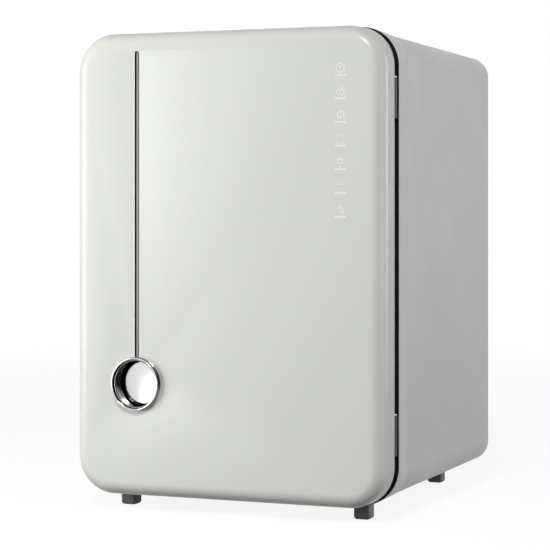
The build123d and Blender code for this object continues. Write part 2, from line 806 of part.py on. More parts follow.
def side_rail(side, z, half_height):
    """A channel on one side wall that holds a sliding edge of the given half height."""
    low = z - half_height - slide_gap
    high = z + half_height + slide_gap
    wall = side * chamber_half_width
    with BuildPart() as rail:
        for x_far, z_low, z_high in (
            (wall - side * rail_base, low - rail_base, high + rail_base),
            (wall - side * rail_lower_width, low - rail_base, low),
            (wall - side * rail_upper_width, high, high + rail_base),
        ):
            with Locations(((wall + x_far) / 2, sum(rail_span) / 2, (z_low + z_high) / 2)):
                Box(abs(wall - x_far), rail_span[1] - rail_span[0], z_high - z_low)
    return rail.part


for level_name, z, half_height in (("upper", rack_z, rack_rod), ("lower", basket_z, basket_rim)):
    for side_name, side in (("left", -1), ("right", 1)):
        rail = side_rail(side, z, half_height)
        rail.label = f"{level_name}_{side_name}_rail"
        export_step(rail, f"parts/{level_name}_{side_name}_rail.step")

# Upper rack: a rod frame with long wires and a raised loop to pull
rack_half_width = 132.6
rack_front = -116.0
rack_back = 106.0
rack_corner = 12.0
wire_radius = 1.3
wire_count = 13
wire_pitch = 19.0
wire_lift = 1.0
cross_rod_radius = 1.8
cross_rod_drop = 0.8
cross_rod_places = (-45.0, 35.0)
pull_half_width = 46.0
pull_height = 20.0
pull_radius = 1.8
pull_bend = 8.0
rod_seam_x = -0.01
with BuildPart() as upper_rack:
    with BuildLine() as rack_outline:
        FilletPolyline(
            (0, rack_front, rack_z),
            (rack_half_width, rack_front, rack_z),
            (rack_half_width, rack_back, rack_z),
            (-rack_half_width, rack_back, rack_z),
            (-rack_half_width, rack_front, rack_z),
            (rod_seam_x, rack_front, rack_z),
            radius=rack_corner,
        )
        Line((rod_seam_x, rack_front, rack_z), (0, rack_front, rack_z))
    with BuildSketch(side_plane(0, rack_front, rack_z)):
        Circle(rack_rod)
    sweep(path=rack_outline.wire())
    with Locations((0, (rack_front + rack_back) / 2, rack_z + wire_lift)):
        with GridLocations(wire_pitch, 0, wire_count, 1):
            Cylinder(wire_radius, rack_back - rack_front, rotation=(90, 0, 0))
    with Locations([(0, y, rack_z - cross_rod_drop) for y in cross_rod_places]):
        Cylinder(cross_rod_radius, 2 * rack_half_width, rotation=(0, 90, 0))
    with BuildLine() as pull_line:
        FilletPolyline(
            (-pull_half_width, rack_front, rack_z),
            (-pull_half_width, rack_front, rack_z + pull_height),
            (pull_half_width, rack_front, rack_z + pull_height),
            (pull_half_width, rack_front, rack_z),
            radius=pull_bend,
        )
    with BuildSketch(level_plane(rack_z, -pull_half_width, rack_front)):
        Circle(pull_radius)
    sweep(path=pull_line.wire())
upper_rack.part.label = "upper_rack"
export_step(upper_rack.part, "parts/upper_rack.step")


def sheet_tray(z_low, half_width, y_front, y_rear, depth, corner, bend, wall):
    """A pressed sheet tray, open at the top, with rounded lower edges."""
    mid_y = (y_front + y_rear) / 2
    length = y_rear - y_front
    with BuildPart() as void:
        with BuildSketch(level_plane(z_low + wall, 0, mid_y)):
            RectangleRounded(2 * (half_width - wall), length - 2 * wall, corner - wall)
        extrude(amount=depth)
        fillet(void.faces().sort_by(Axis.Z)[0].edges(), radius=bend - wall)
    with BuildPart() as tray:
        with BuildSketch(level_plane(z_low, 0, mid_y)):
            RectangleRounded(2 * half_width, length, corner)
        extrude(amount=depth)
        fillet(tray.faces().sort_by(Axis.Z)[0].edges(), radius=bend)
        add(void.part, mode=Mode.SUBTRACT)
    return tray.part


# Lower basket: a deep perforated drawer that hangs by its rim
basket_half_width = 123.0
basket_front = -114.0
basket_back = 104.0
basket_depth = 62.0
basket_wall = 1.0
basket_corner = 14.0
basket_bend = 6.0
basket_rim_half = 134.0
basket_rim_end = 6.0
basket_mid_y = (basket_front + basket_back) / 2
basket_length = basket_back - basket_front
basket_slot_z = basket_z - basket_depth / 2 - 1.0
wall_slot = (15.0, 7.0)
wall_slot_pitch = (22.0, 16.0)
floor_slot = (26.0, 6.0)
floor_slot_pitch = (36.0, 15.0)
floor_slot_grid = (6, 12)
side_slot_grid = (8, 2)
end_slot_grid = (9, 2)
finger_slot = (78.0, 20.0)
finger_slot_rise = 12.0
cutter_depth = 4.0
with BuildPart() as lower_basket:
    add(
        sheet_tray(
            basket_z - basket_depth,
            basket_half_width,
            basket_front,
            basket_back,
            basket_depth,
            basket_corner,
            basket_bend,
            basket_wall,
        )
    )
    with BuildSketch(level_plane(basket_z - basket_rim, 0, basket_mid_y)):
        RectangleRounded(2 * basket_rim_half, basket_length + 2 * basket_rim_end, basket_corner)
        RectangleRounded(
            2 * (basket_half_width - basket_wall),
            basket_length - 2 * basket_wall,
            basket_corner - basket_wall,
            mode=Mode.SUBTRACT,
        )
    extrude(amount=2 * basket_rim)
    with BuildSketch(level_plane(basket_z - basket_depth - overcut, 0, basket_mid_y)):
        with GridLocations(*floor_slot_pitch, *floor_slot_grid):
            SlotOverall(*floor_slot)
    extrude(amount=cutter_depth, mode=Mode.SUBTRACT)
    for x_wall in (-basket_half_width + basket_wall / 2, basket_half_width - basket_wall / 2):
        x_start = x_wall - cutter_depth / 2
        with BuildSketch(side_plane(x_start, basket_mid_y, basket_slot_z)):
            with GridLocations(*wall_slot_pitch, *side_slot_grid):
                SlotOverall(*wall_slot)
        extrude(amount=cutter_depth, mode=Mode.SUBTRACT)
    with BuildSketch(front_plane(basket_back + overcut, 0, basket_slot_z)):
        with GridLocations(*wall_slot_pitch, *end_slot_grid):
            SlotOverall(*wall_slot)
    extrude(amount=cutter_depth, mode=Mode.SUBTRACT)
    with BuildSketch(front_plane(basket_front + cutter_depth - overcut, 0, basket_slot_z)):
        with Locations((0, -finger_slot_rise)):
            with GridLocations(wall_slot_pitch[0], 0, end_slot_grid[0], 1):
                SlotOverall(*wall_slot)
        with Locations((0, finger_slot_rise)):
            SlotOverall(*finger_slot)
    extrude(amount=cutter_depth, mode=Mode.SUBTRACT)
lower_basket.part.label = "lower_basket"
export_step(lower_basket.part, "parts/lower_basket.step")

# Drip tray on the chamber floor, with a lip to pull it by
tray_half_width = 128.0
tray_front = -112.0
tray_back = 104.0
tray_low = chamber_low + 0.4
tray_height = 14.0
tray_wall = 1.0
tray_corner = 10.0
tray_bend = 2.5
tray_lip = (90.0, 8.0, 1.5)
tray_lip_round = 4.0
with BuildPart() as drip_tray:
    lip_y = tray_front - (tray_lip[1] - tray_wall) / 2
    with Locations((0, lip_y, tray_low + tray_height - tray_lip[2] / 2)):
        Box(*tray_lip)
    fillet(drip_tray.edges().filter_by(Axis.Z).group_by(Axis.Y)[0], radius=tray_lip_round)
    add(
        sheet_tray(
            tray_low,
            tray_half_width,
            tray_front,
            tray_back,
            tray_height,
            tray_corner,
            tray_bend,
            tray_wall,
        )
    )
drip_tray.part.label = "drip_tray"
export_step(drip_tray.part, "parts/drip_tray.step")

# Two ultraviolet lamps, each on a reflector plate with its sockets and a wire guard
lamp_radius = 7.7
lamp_half_length = 100.0
lamp_height = 21.0
cap_radius = 8.3
cap_length = 12.0
socket_length = 14.0
socket_half_width = 9.5
socket_corner = 2.0
socket_height = lamp_height + 11.0
reflector_half_length = 125.0
reflector_plate = 0.8
reflector_flat = 15.0
reflector_reach = 30.0
reflector_drop = 9.0
guard_wire = 1.1
guard_outline = ((-23.0, 7.0), (-16.0, 31.0), (0.0, 38.0), (16.0, 31.0), (23.0, 7.0))
guard_bend = 5.0
guard_hoops = 7
guard_half_length = 96.0
guard_long_wires = ((-15.2, 30.4), (0.0, 36.4), (15.2, 30.4))
guard_overhang = 8.0
rear_lamp_z = 236.0


def lamp_set(prefix, wall):
    """A lamp and what holds it, on a wall plane whose normal points into the chamber."""
    with BuildPart() as tube:
        with Locations((0, 0, lamp_height)):
            Cylinder(lamp_radius, 2 * lamp_half_length, rotation=(0, 90, 0))
            for end in (-1, 1):
                with Locations((end * (lamp_half_length + cap_length / 2), 0, 0)):
                    Cylinder(cap_radius, cap_length, rotation=(0, 90, 0))

    with BuildPart() as sockets:
        for end in (-1, 1):
            x_mid = end * (lamp_half_length + cap_length + socket_length / 2)
            with BuildSketch(level_plane(reflector_plate, x_mid, 0)):
                RectangleRounded(socket_length, 2 * socket_half_width, socket_corner)
            extrude(amount=socket_height - reflector_plate)

    with BuildPart() as reflector:
        with BuildSketch(side_plane(-reflector_half_length)):
            with BuildLine():
                Polyline(
                    (-reflector_flat, 0),
                    (reflector_flat, 0),
                    (reflector_reach, reflector_drop),
                    (reflector_reach - reflector_plate, reflector_drop),
                    (reflector_flat - reflector_plate / 2, reflector_plate),
                    (-reflector_flat + reflector_plate / 2, reflector_plate),
                    (-reflector_reach + reflector_plate, reflector_drop),
                    (-reflector_reach, reflector_drop),
                    close=True,
                )
            make_face()
        extrude(amount=2 * reflector_half_length)

    with BuildPart() as guard:
        for n in range(guard_hoops):
            x = (n / (guard_hoops - 1) * 2 - 1) * guard_half_length
            with BuildLine() as hoop:
                FilletPolyline([(x, y, z) for y, z in guard_outline], radius=guard_bend)
            with BuildSketch(Plane(origin=hoop.wire() @ 0, z_dir=hoop.wire() % 0)):
                Circle(guard_wire)
            sweep(path=hoop.wire())
        with Locations([(0, y, z) for y, z in guard_long_wires]):
            Cylinder(guard_wire, 2 * (guard_half_length + guard_overhang), rotation=(0, 90, 0))

    pieces = {"lamp": tube, "lamp_sockets": sockets, "reflector": reflector, "lamp_guard": guard}
    for suffix, piece in pieces.items():
        placed = piece.part.moved(wall.location)
        placed.label = f"{prefix}_{suffix}"
        export_step(placed, f"parts/{prefix}_{suffix}.step")


lamp_set("upper", Plane(origin=(0, 0, chamber_high), x_dir=(1, 0, 0), z_dir=(0, 0, -1)))
lamp_set("rear", Plane(origin=(0, y_liner_back, rear_lamp_z), x_dir=(1, 0, 0), z_dir=(0, -1, 0)))

# Warm air: grille, heater block, fan with its motor, shaft and impeller
grille_size = (air_opening[0] + 12.0, air_opening[1] + 12.0)
grille_corner = 4.0
grille_plate = 1.2
grille_slot = (42.0, 3.6)
grille_pitch = (48.0, 8.0)
grille_grid = (2, 10)
with BuildPart() as air_grille:
    with BuildSketch(front_plane(y_liner_back, 0, fan_z)):
        RectangleRounded(*grille_size, grille_corner)
    extrude(amount=grille_plate)
    with BuildSketch(front_plane(y_liner_back, 0, fan_z)):
        with GridLocations(*grille_pitch, *grille_grid):
            SlotOverall(*grille_slot)
    extrude(amount=grille_plate + overcut, mode=Mode.SUBTRACT)
air_grille.part.label = "air_grille"
export_step(air_grille.part, "parts/air_grille.step")

heater_front = y_liner_back + liner_wall + 0.4
heater_back = heater_front + 10.0
heater_size = (100.0, 80.0)
heater_cell = (2.4, 14.0)
heater_cell_pitch = (4.0, 18.5)
heater_cell_grid = (22, 4)
with BuildPart() as air_heater:
    with BuildSketch(front_plane(heater_front, 0, fan_z)):
        Rectangle(*heater_size)
        with GridLocations(*heater_cell_pitch, *heater_cell_grid):
            Rectangle(*heater_cell, mode=Mode.SUBTRACT)
    extrude(amount=heater_front - heater_back)
air_heater.part.label = "air_heater"
export_step(air_heater.part, "parts/air_heater.step")

fan_front = heater_back + 1.5
fan_length = 25.0
fan_back = fan_front + fan_length
fan_half = 46.0
fan_corner = 5.0
fan_bore = 43.0
fan_screw_pitch = 82.0
fan_screw_radius = 2.2
fan_arm_width = 5.0
fan_arm_depth = 3.0
fan_arm_turns = (45, 135)
fan_arm_front = fan_back - fan_arm_depth
motor_radius = 14.0
motor_seat_radius = motor_radius + 3.0
shaft_radius = 1.5
shaft_fit = 0.05
with BuildPart() as fan_housing:
    with BuildSketch(front_plane(fan_front, 0, fan_z)):
        RectangleRounded(2 * fan_half, 2 * fan_half, fan_corner)
        Circle(fan_bore, mode=Mode.SUBTRACT)
        with GridLocations(fan_screw_pitch, fan_screw_pitch, 2, 2):
            Circle(fan_screw_radius, mode=Mode.SUBTRACT)
    extrude(amount=-fan_length)
    with BuildSketch(front_plane(fan_arm_front, 0, fan_z)):
        Circle(motor_seat_radius)
        for turn in fan_arm_turns:
            with Locations(Location((0, 0, 0), (0, 0, turn))):
                Rectangle(2 * (fan_bore + overcut), fan_arm_width)
    extrude(amount=-fan_arm_depth)
fan_housing.part.label = "fan_housing"
export_step(fan_housing.part, "parts/fan_housing.step")

motor_front = fan_front + 6.0
with BuildPart() as fan_motor:
    with BuildSketch(front_plane(motor_front, 0, fan_z)):
        Circle(motor_radius)
        Circle(shaft_radius + shaft_fit, mode=Mode.SUBTRACT)
    extrude(amount=motor_front - fan_arm_front)
fan_motor.part.label = "fan_motor"
export_step(fan_motor.part, "parts/fan_motor.step")

hub_front = fan_front + 1.5
hub_back = fan_back - 4.5
hub_radius = 19.0
hub_inner_radius = 15.5
hub_plate = 2.0
hub_round = 1.5
hub_socket = 3.0
blade_count = 7
blade_pitch = 35
blade_inner = 17.2
blade_outer = 41.5
blade_chord = 20.0
blade_thickness = 1.6
shaft_back = fan_back - 3.5
with BuildPart() as fan_impeller:
    with BuildSketch(front_plane(hub_front, 0, fan_z)):
        Circle(hub_radius)
    extrude(amount=hub_front - hub_back)
    fillet(fan_impeller.faces().sort_by(Axis.Y)[0].edges(), radius=hub_round)
    with BuildSketch(front_plane(hub_front + hub_plate, 0, fan_z)):
        Circle(hub_inner_radius)
    extrude(amount=hub_front - hub_back, mode=Mode.SUBTRACT)
    for n in range(blade_count):
        turn = Location((0, (hub_front + hub_back) / 2, fan_z), (0, 360 / blade_count * n, 0))
        with Locations(turn * Location(((blade_inner + blade_outer) / 2, 0, 0), (blade_pitch, 0, 0))):
            Box(blade_outer - blade_inner, blade_chord, blade_thickness)
    with BuildSketch(front_plane(hub_front, 0, fan_z)):
        Circle(shaft_radius)
    extrude(amount=-hub_socket, mode=Mode.SUBTRACT)
fan_impeller.part.label = "fan_impeller"
export_step(fan_impeller.part, "parts/fan_impeller.step")

with BuildPart() as fan_shaft:
    with BuildSketch(front_plane(hub_front, 0, fan_z)):
        Circle(shaft_radius)
    extrude(amount=hub_front - shaft_back)
fan_shaft.part.label = "fan_shaft"
export_step(fan_shaft.part, "parts/fan_shaft.step")

# Electronics behind and above the chamber
standoff_height = 5.0
standoff_radius = 3.0
standoff_front = y_liner_back + liner_wall
board_front = standoff_front + standoff_height
board_mid = (30.0, 140.0)
board_size = (140.0, 110.0)
board_corner = 2.0
board_plate = 1.6
standoff_pitch = (board_size[0] - 10.0, board_size[1] - 10.0)
with BuildPart() as board_standoffs:
    with BuildSketch(front_plane(standoff_front, *board_mid)):
        with GridLocations(*standoff_pitch, 2, 2):
            Circle(standoff_radius)
    extrude(amount=-standoff_height)
board_standoffs.part.label = "board_standoffs"
export_step(board_standoffs.part, "parts/board_standoffs.step")

# Transformer, relay, choke, driver, processor and socket.
# Each has x and z from the board's middle, width, height and rise
board_blocks = (
    (-45, 25, 34, 30, 24),
    (-48, -28, 20, 16, 16),
    (-15, 30, 14, 18, 14),
    (10, -30, 30, 12, 5),
    (45, 20, 24, 24, 4),
    (48, -32, 18, 8, 9),
)
capacitor_places = ((10, 32), (10, 14), (-15, -30))
capacitor_radius = 6.0
capacitor_height = 20.0
with BuildPart() as control_board:
    with BuildSketch(front_plane(board_front, *board_mid)):
        RectangleRounded(*board_size, board_corner)
    extrude(amount=-board_plate)
    for x, z, width, height, rise in board_blocks:
        with BuildSketch(front_plane(board_front + board_plate, board_mid[0] + x, board_mid[1] + z)):
            Rectangle(width, height)
        extrude(amount=-rise)
    for x, z in capacitor_places:
        with BuildSketch(front_plane(board_front + board_plate, board_mid[0] + x, board_mid[1] + z)):
            Circle(capacitor_radius)
        extrude(amount=-capacitor_height)
control_board.part.label = "control_board"
export_step(control_board.part, "parts/control_board.step")

ballast_low = chamber_high + liner_wall
ballast_mid = (-20.0, 30.0)
ballast_foot = (136.0, 36.0)
ballast_case = (112.0, 36.0)
ballast_corner = 2.0
ballast_plate = 1.2
ballast_height = 24.0
ballast_round = 1.5
ballast_hole_pitch = 124.0
ballast_hole_radius = 2.0
with BuildPart() as lamp_ballast:
    with BuildSketch(level_plane(ballast_low, *ballast_mid)):
        RectangleRounded(*ballast_foot, ballast_corner)
    extrude(amount=ballast_plate)
    with BuildSketch(level_plane(ballast_low, *ballast_mid)):
        RectangleRounded(*ballast_case, ballast_corner)
    extrude(amount=ballast_height)
    fillet(lamp_ballast.faces().sort_by(Axis.Z)[-1].edges(), radius=ballast_round)
    with BuildSketch(level_plane(ballast_low, *ballast_mid)):
        with GridLocations(ballast_hole_pitch, 0, 2, 1):
            Circle(ballast_hole_radius)
    extrude(amount=ballast_plate + overcut, mode=Mode.SUBTRACT)
lamp_ballast.part.label = "lamp_ballast"
export_step(lamp_ballast.part, "parts/lamp_ballast.step")

# Supply wires from the inlet to the control board
supply_radius = 2.2
supply_bend = 6.0
supply_y = board_front + board_plate / 2 + 3.0
supply_z = board_mid[1] + 10.0
supply_end_x = board_mid[0] - board_size[0] / 2 + 2.0
with BuildPart() as supply_wires:
    with BuildLine() as supply_path:
        FilletPolyline(
            (inlet_x, inlet_front, inlet_z),
            (inlet_x, supply_y, inlet_z),
            (inlet_x, supply_y, supply_z),
            (supply_end_x, supply_y, supply_z),
            radius=supply_bend,
        )
    with BuildSketch(front_plane(inlet_front, inlet_x, inlet_z)):
        Circle(supply_radius)
    sweep(path=supply_path.wire())
supply_wires.part.label = "supply_wires"
export_step(supply_wires.part, "parts/supply_wires.step")

# Door switch: housing in the frame, a plunger that the door holds in, and its spring
switch_fit = 0.1
plunger_radius = 2.0
plunger_fit = 0.06
plunger_round = 1.0
plunger_tip = y_door_back + 0.4
collar_front = y_frame + 8.0
collar_back = y_frame + 10.0
collar_radius = 2.8
housing_back = y_frame + 19.0
cavity_front = y_frame + 3.0
cavity_back = housing_back - 2.0
cavity_radius = 3.2
with BuildPart() as door_switch_housing:
    with BuildSketch(front_plane(y_frame, switch_x, switch_z)):
        Rectangle(switch_housing[0] - switch_fit, switch_housing[1] - switch_fit)
    extrude(amount=y_frame - housing_back)
    with BuildSketch(front_plane(y_frame, switch_x, switch_z)):
        Circle(plunger_radius + plunger_fit)
    extrude(amount=y_frame - cavity_front - overcut, mode=Mode.SUBTRACT)
    with BuildSketch(front_plane(cavity_front, switch_x, switch_z)):
        Circle(cavity_radius)
    extrude(amount=cavity_front - cavity_back, mode=Mode.SUBTRACT)
door_switch_housing.part.label = "door_switch_housing"
export_step(door_switch_housing.part, "parts/door_switch_housing.step")

with BuildPart() as door_switch_plunger:
    with BuildSketch(front_plane(plunger_tip, switch_x, switch_z)):
        Circle(plunger_radius)
    extrude(amount=plunger_tip - collar_back)
    fillet(door_switch_plunger.faces().sort_by(Axis.Y)[0].edges(), radius=plunger_round)
    with BuildSketch(front_plane(collar_front, switch_x, switch_z)):
        Circle(collar_radius)
    extrude(amount=collar_front - collar_back)
door_switch_plunger.part.label = "door_switch_plunger"
export_step(door_switch_plunger.part, "parts/door_switch_plunger.step")

spring_radius = 2.2
spring_wire = 0.3
spring_turns = 4
spring_gap = 0.05
spring_front = collar_back + spring_wire + spring_gap
spring_back = cavity_back - spring_wire - spring_gap
with BuildPart() as door_switch_spring:
    with BuildLine() as coil:
        Helix(
            pitch=(spring_back - spring_front) / spring_turns,
            height=spring_back - spring_front,
            radius=spring_radius,
            center=(switch_x, spring_front, switch_z),
            direction=(0, 1, 0),
        )
    with BuildSketch(Plane(origin=coil.wire() @ 0, z_dir=coil.wire() % 0)):
        Circle(spring_wire)
    sweep(path=coil.wire(), is_frenet=True)
door_switch_spring.part.label = "door_switch_spring"
export_step(door_switch_spring.part, "parts/door_switch_spring.step")
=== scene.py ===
from math import cos, pi, radians, sin

import bmesh
import bpy
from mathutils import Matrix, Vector, noise as cellNoise


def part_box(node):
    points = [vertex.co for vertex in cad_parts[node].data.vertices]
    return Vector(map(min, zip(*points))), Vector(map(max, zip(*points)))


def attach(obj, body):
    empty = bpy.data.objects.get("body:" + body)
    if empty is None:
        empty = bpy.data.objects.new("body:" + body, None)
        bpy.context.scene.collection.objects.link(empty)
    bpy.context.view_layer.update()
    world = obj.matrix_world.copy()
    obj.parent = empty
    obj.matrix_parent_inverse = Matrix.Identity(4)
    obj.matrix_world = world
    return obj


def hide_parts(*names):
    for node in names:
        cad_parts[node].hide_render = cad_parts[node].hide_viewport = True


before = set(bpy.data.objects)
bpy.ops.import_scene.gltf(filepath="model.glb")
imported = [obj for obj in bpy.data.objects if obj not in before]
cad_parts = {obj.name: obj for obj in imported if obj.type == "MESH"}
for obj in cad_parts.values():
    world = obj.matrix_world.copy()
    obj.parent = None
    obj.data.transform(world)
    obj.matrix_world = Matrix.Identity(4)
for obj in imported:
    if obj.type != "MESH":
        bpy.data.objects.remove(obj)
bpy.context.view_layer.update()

scene = bpy.context.scene
mm = 0.001
noiseLow, noiseHigh = 0.3, 0.7     # the part of a noise's range that shows


# helpers for materials: fixed values go straight on the shader, what varies over the surface is noise, and
# painted shade or reflection runs along a direction

def linear(r, g, b):
    return tuple(((c / 255 + 0.055) / 1.055) ** 2.4 if c > 10 else c / 255 / 12.92 for c in (r, g, b))


def noiseNode(material, scale, detail=2.0, stretch=(1, 1, 1)):
    tree = material.node_tree
    place = tree.nodes.new("ShaderNodeTexCoord")
    mapping = tree.nodes.new("ShaderNodeMapping")
    mapping.inputs["Scale"].default_value = stretch
    noise = tree.nodes.new("ShaderNodeTexNoise")
    noise.inputs["Scale"].default_value = scale
    noise.inputs["Detail"].default_value = detail
    tree.links.new(place.outputs["Object"], mapping.inputs["Vector"])
    tree.links.new(mapping.outputs["Vector"], noise.inputs["Vector"])
    return noise


def spanNode(tree, source, fromMin, fromMax, toMin=0.0, toMax=1.0):
    # one range of a value turned into another, held at its ends
    span = tree.nodes.new("ShaderNodeMapRange")
    for name, value in (("From Min", fromMin), ("From Max", fromMax), ("To Min", toMin), ("To Max", toMax)):
        span.inputs[name].default_value = value
    tree.links.new(source, span.inputs["Value"])
    return span


def mathNode(tree, operation, *sources):
    node = tree.nodes.new("ShaderNodeMath")
    node.operation = operation
    for socket, source in zip(node.inputs, sources):
        if isinstance(source, float):
            socket.default_value = source
        else:
            tree.links.new(source, socket)
    return node.outputs[0]


def addBump(material, scale, height, strength, detail=2.0, stretch=(1, 1, 1)):
    tree = material.node_tree
    noise = noiseNode(material, scale, detail, stretch)
    bump = tree.nodes.new("ShaderNodeBump")
    bump.inputs["Strength"].default_value = strength
    bump.inputs["Distance"].default_value = height * mm
    tree.links.new(noise.outputs["Fac"], bump.inputs["Height"])
    tree.links.new(bump.outputs["Normal"], tree.nodes["Principled BSDF"].inputs["Normal"])


def addRoughness(material, low, high, scale, detail=3.0, stretch=(1, 1, 1)):
    tree = material.node_tree
    noise = noiseNode(material, scale, detail, stretch)
    span = spanNode(tree, noise.outputs["Fac"], noiseLow, noiseHigh, low, high)
    tree.links.new(span.outputs["Result"], tree.nodes["Principled BSDF"].inputs["Roughness"])


def addRamp(material, factor, stops):
    # the base colour along a factor: (share, colour) from the first stop to the last
    tree = material.node_tree
    ramp = tree.nodes.new("ShaderNodeValToRGB")
    tones = ramp.color_ramp.elements
    for share, color in stops[1:-1]:
        tones.new(share).color = (*linear(*color), 1)
    for element, (share, color) in zip((tones[0], tones[-1]), (stops[0], stops[-1])):
        element.position = share
        element.color = (*linear(*color), 1)
    tree.links.new(factor, ramp.inputs["Fac"])
    tree.links.new(ramp.outputs["Color"], tree.nodes["Principled BSDF"].inputs["Base Color"])


def addTint(material, colorA, colorB, scale, detail=3.0, stretch=(1, 1, 1)):
    noise = noiseNode(material, scale, detail, stretch)
    addRamp(material, noise.outputs["Fac"], ((noiseLow, colorA), (noiseHigh, colorB)))


def addEdgeShade(material, startY, endY, startColor, endColor):
    # painted shade: one colour at the face, a darker one further back, so the coat darkens over the soft
    # edge where it turns away from the light
    tree = material.node_tree
    place = tree.nodes.new("ShaderNodeTexCoord")
    split = tree.nodes.new("ShaderNodeSeparateXYZ")
    tree.links.new(place.outputs["Object"], split.inputs[0])
    span = spanNode(tree, split.outputs["Y"], startY * mm, endY * mm)
    addRamp(material, span.outputs["Result"], ((0.0, startColor), (1.0, endColor)))


def addPaintedReflections(material, stops, streak):
    # painted reflections on a polished round wall: tones along a direction, drawn out in fine streaks
    tree = material.node_tree
    origin, toward = Vector(paintedReflections["origin"]), Vector(paintedReflections["toward"])
    place = tree.nodes.new("ShaderNodeTexCoord")
    along = tree.nodes.new("ShaderNodeVectorMath")
    along.operation = "DOT_PRODUCT"
    along.inputs[1].default_value = toward
    tree.links.new(place.outputs["Object"], along.inputs[0])
    noise = noiseNode(material, paintedReflections["streakScale"], stretch=paintedReflections["streakStretch"])
    streaked = mathNode(tree, "MULTIPLY_ADD", noise.outputs["Fac"], streak * mm, along.outputs["Value"])
    start = origin.dot(toward) * mm + streak * mm / 2
    first, last = stops[0][0], stops[-1][0]
    span = spanNode(tree, streaked, start + first * mm, start + last * mm)
    tones = [((at - first) / (last - first), (tone, tone, min(tone + 1, 255))) for at, tone in stops]
    addRamp(material, span.outputs["Result"], tones)


def newMaterial(name, color, rough, metallic=0.0, level=0.5, bump=(), tint=(), **sockets):
    material = bpy.data.materials.new(name)
    material.use_nodes = True
    inputs = material.node_tree.nodes["Principled BSDF"].inputs
    inputs["Base Color"].default_value = (*linear(*color), 1)
    inputs["Metallic"].default_value = metallic
    inputs["Specular IOR Level"].default_value = level
    for socket, value in sockets.items():
        inputs[socket.replace("_", " ")].default_value = value
    if isinstance(rough, tuple):
        inputs["Roughness"].default_value = (rough[0] + rough[1]) / 2
        addRoughness(material, *rough)
    else:
        inputs["Roughness"].default_value = rough
    if bump:
        addBump(material, *bump)
    if tint:
        addTint(material, *tint)
    return material


# helpers for meshes: rings of points at one depth, bridged one to the next

def quarterTurn(steps):
    return [radians(90 * n / steps) for n in range(steps + 1)]


def arcPoints(centerU, centerV, radius, startDegrees, endDegrees, steps):
    points = []
    for n in range(steps + 1):
        angle = radians(startDegrees + (endDegrees - startDegrees) * n / steps)
        points.append((centerU + radius * cos(angle), centerV + radius * sin(angle)))
    return points


def circlePoints(x, z, radius, steps=24):
    return arcPoints(x, z, radius, 0, 360 - 360 / steps, steps - 1)


def roundedOutline(width, height, corner, steps):
    points = []
    for sideX, sideZ, start in ((1, 1, 0), (-1, 1, 90), (-1, -1, 180), (1, -1, 270)):
        centerX, centerZ = sideX * (width / 2 - corner), sideZ * (height / 2 - corner)
        points += arcPoints(centerX, centerZ, corner, start, start + 90, steps)
    return points


def addRing(bm, outline, y, centerX=0.0, centerZ=0.0):
    return [bm.verts.new((mm * (x + centerX), mm * y, mm * (z + centerZ))) for x, z in outline]


def bridgeRings(bm, rings, closed=False):
    pairs = list(zip(rings, rings[1:]))
    if closed:
        pairs.append((rings[-1], rings[0]))
    for ringA, ringB in pairs:
        count = len(ringA)
        for n in range(count):
            m = (n + 1) % count
            bm.faces.new((ringA[n], ringA[m], ringB[m], ringB[n]))


def closeEnds(bm, rings):
    bm.faces.new(rings[0])
    bm.faces.new(list(reversed(rings[-1])))


def ringEdges(bm, ring):
    edges = []
    for n, vert in enumerate(ring):
        following = ring[(n + 1) % len(ring)]
        edges.append(bm.edges.get((vert, following)) or bm.edges.new((vert, following)))
    return edges


def fillFlat(bm, *rings):
    edges = [edge for ring in rings for edge in ringEdges(bm, ring)]
    bmesh.ops.triangle_fill(bm, edges=edges, use_beauty=True, use_dissolve=False)


def makePiece(name, bm, material, bodyName, stands=(), slotName=None, sharp=32):
    bmesh.ops.recalc_face_normals(bm, faces=bm.faces)
    mesh = bpy.data.meshes.new(name)
    bm.to_mesh(mesh)
    bm.free()
    for polygon in mesh.polygons:
        polygon.use_smooth = True
    mesh.set_sharp_from_angle(angle=radians(sharp))
    mesh.materials.append(material)
    piece = bpy.data.objects.new(name, mesh)
    scene.collection.objects.link(piece)
    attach(piece, bodyName)
    if stands:
        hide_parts(*stands)
    return piece


def paintFaces(piece, finishNames, choose):
    # more finishes on one piece: choose(center in millimetres) gives a finish name or None
    for name in finishNames:
        piece.data.materials.append(finish[name])
    for polygon in piece.data.polygons:
        picked = choose(polygon.center / mm)
        if picked:
            polygon.material_index = 1 + finishNames.index(picked)


def turned(name, profile, center, material, bodyName, axis="Y", steps=96, closed=True, **options):
    # a profile of (radius, place along the axis) turned about the Y or the X axis through center
    bm = bmesh.new()
    rings = []
    for radius, along in profile:
        ring = []
        for n in range(steps):
            angle = 2 * pi * n / steps
            u, v = radius * cos(angle), radius * sin(angle)
            if axis == "Y":
                place = (center[0] + u, along, center[2] + v)
            else:
                place = (along, center[1] + u, center[2] + v)
            ring.append(bm.verts.new(Vector(place) * mm))
        rings.append(ring)
    bridgeRings(bm, rings, closed)
    if not closed:
        closeEnds(bm, rings)
    return makePiece(name, bm, material, bodyName, **options)


def nodeBox(nodeName):
    low, high = (Vector(corner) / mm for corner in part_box(nodeName))
    return low, high


# what several pieces share, in millimetres
body = {
    "width": 339.0,
    "height": 470.0,
    "midZ": 250.0,
    "cornerSteps": 20,
    "faceY": -173.0,
    "doorBackY": -142.0,
    "frameY": -132.0,
    "frameBackY": -98.0,
    "casingY": -97.6,
    "backY": 179.0,
    "chamberMidZ": 244.0,
    "handleX": -98.0,
    "handleZ": 129.3,
}

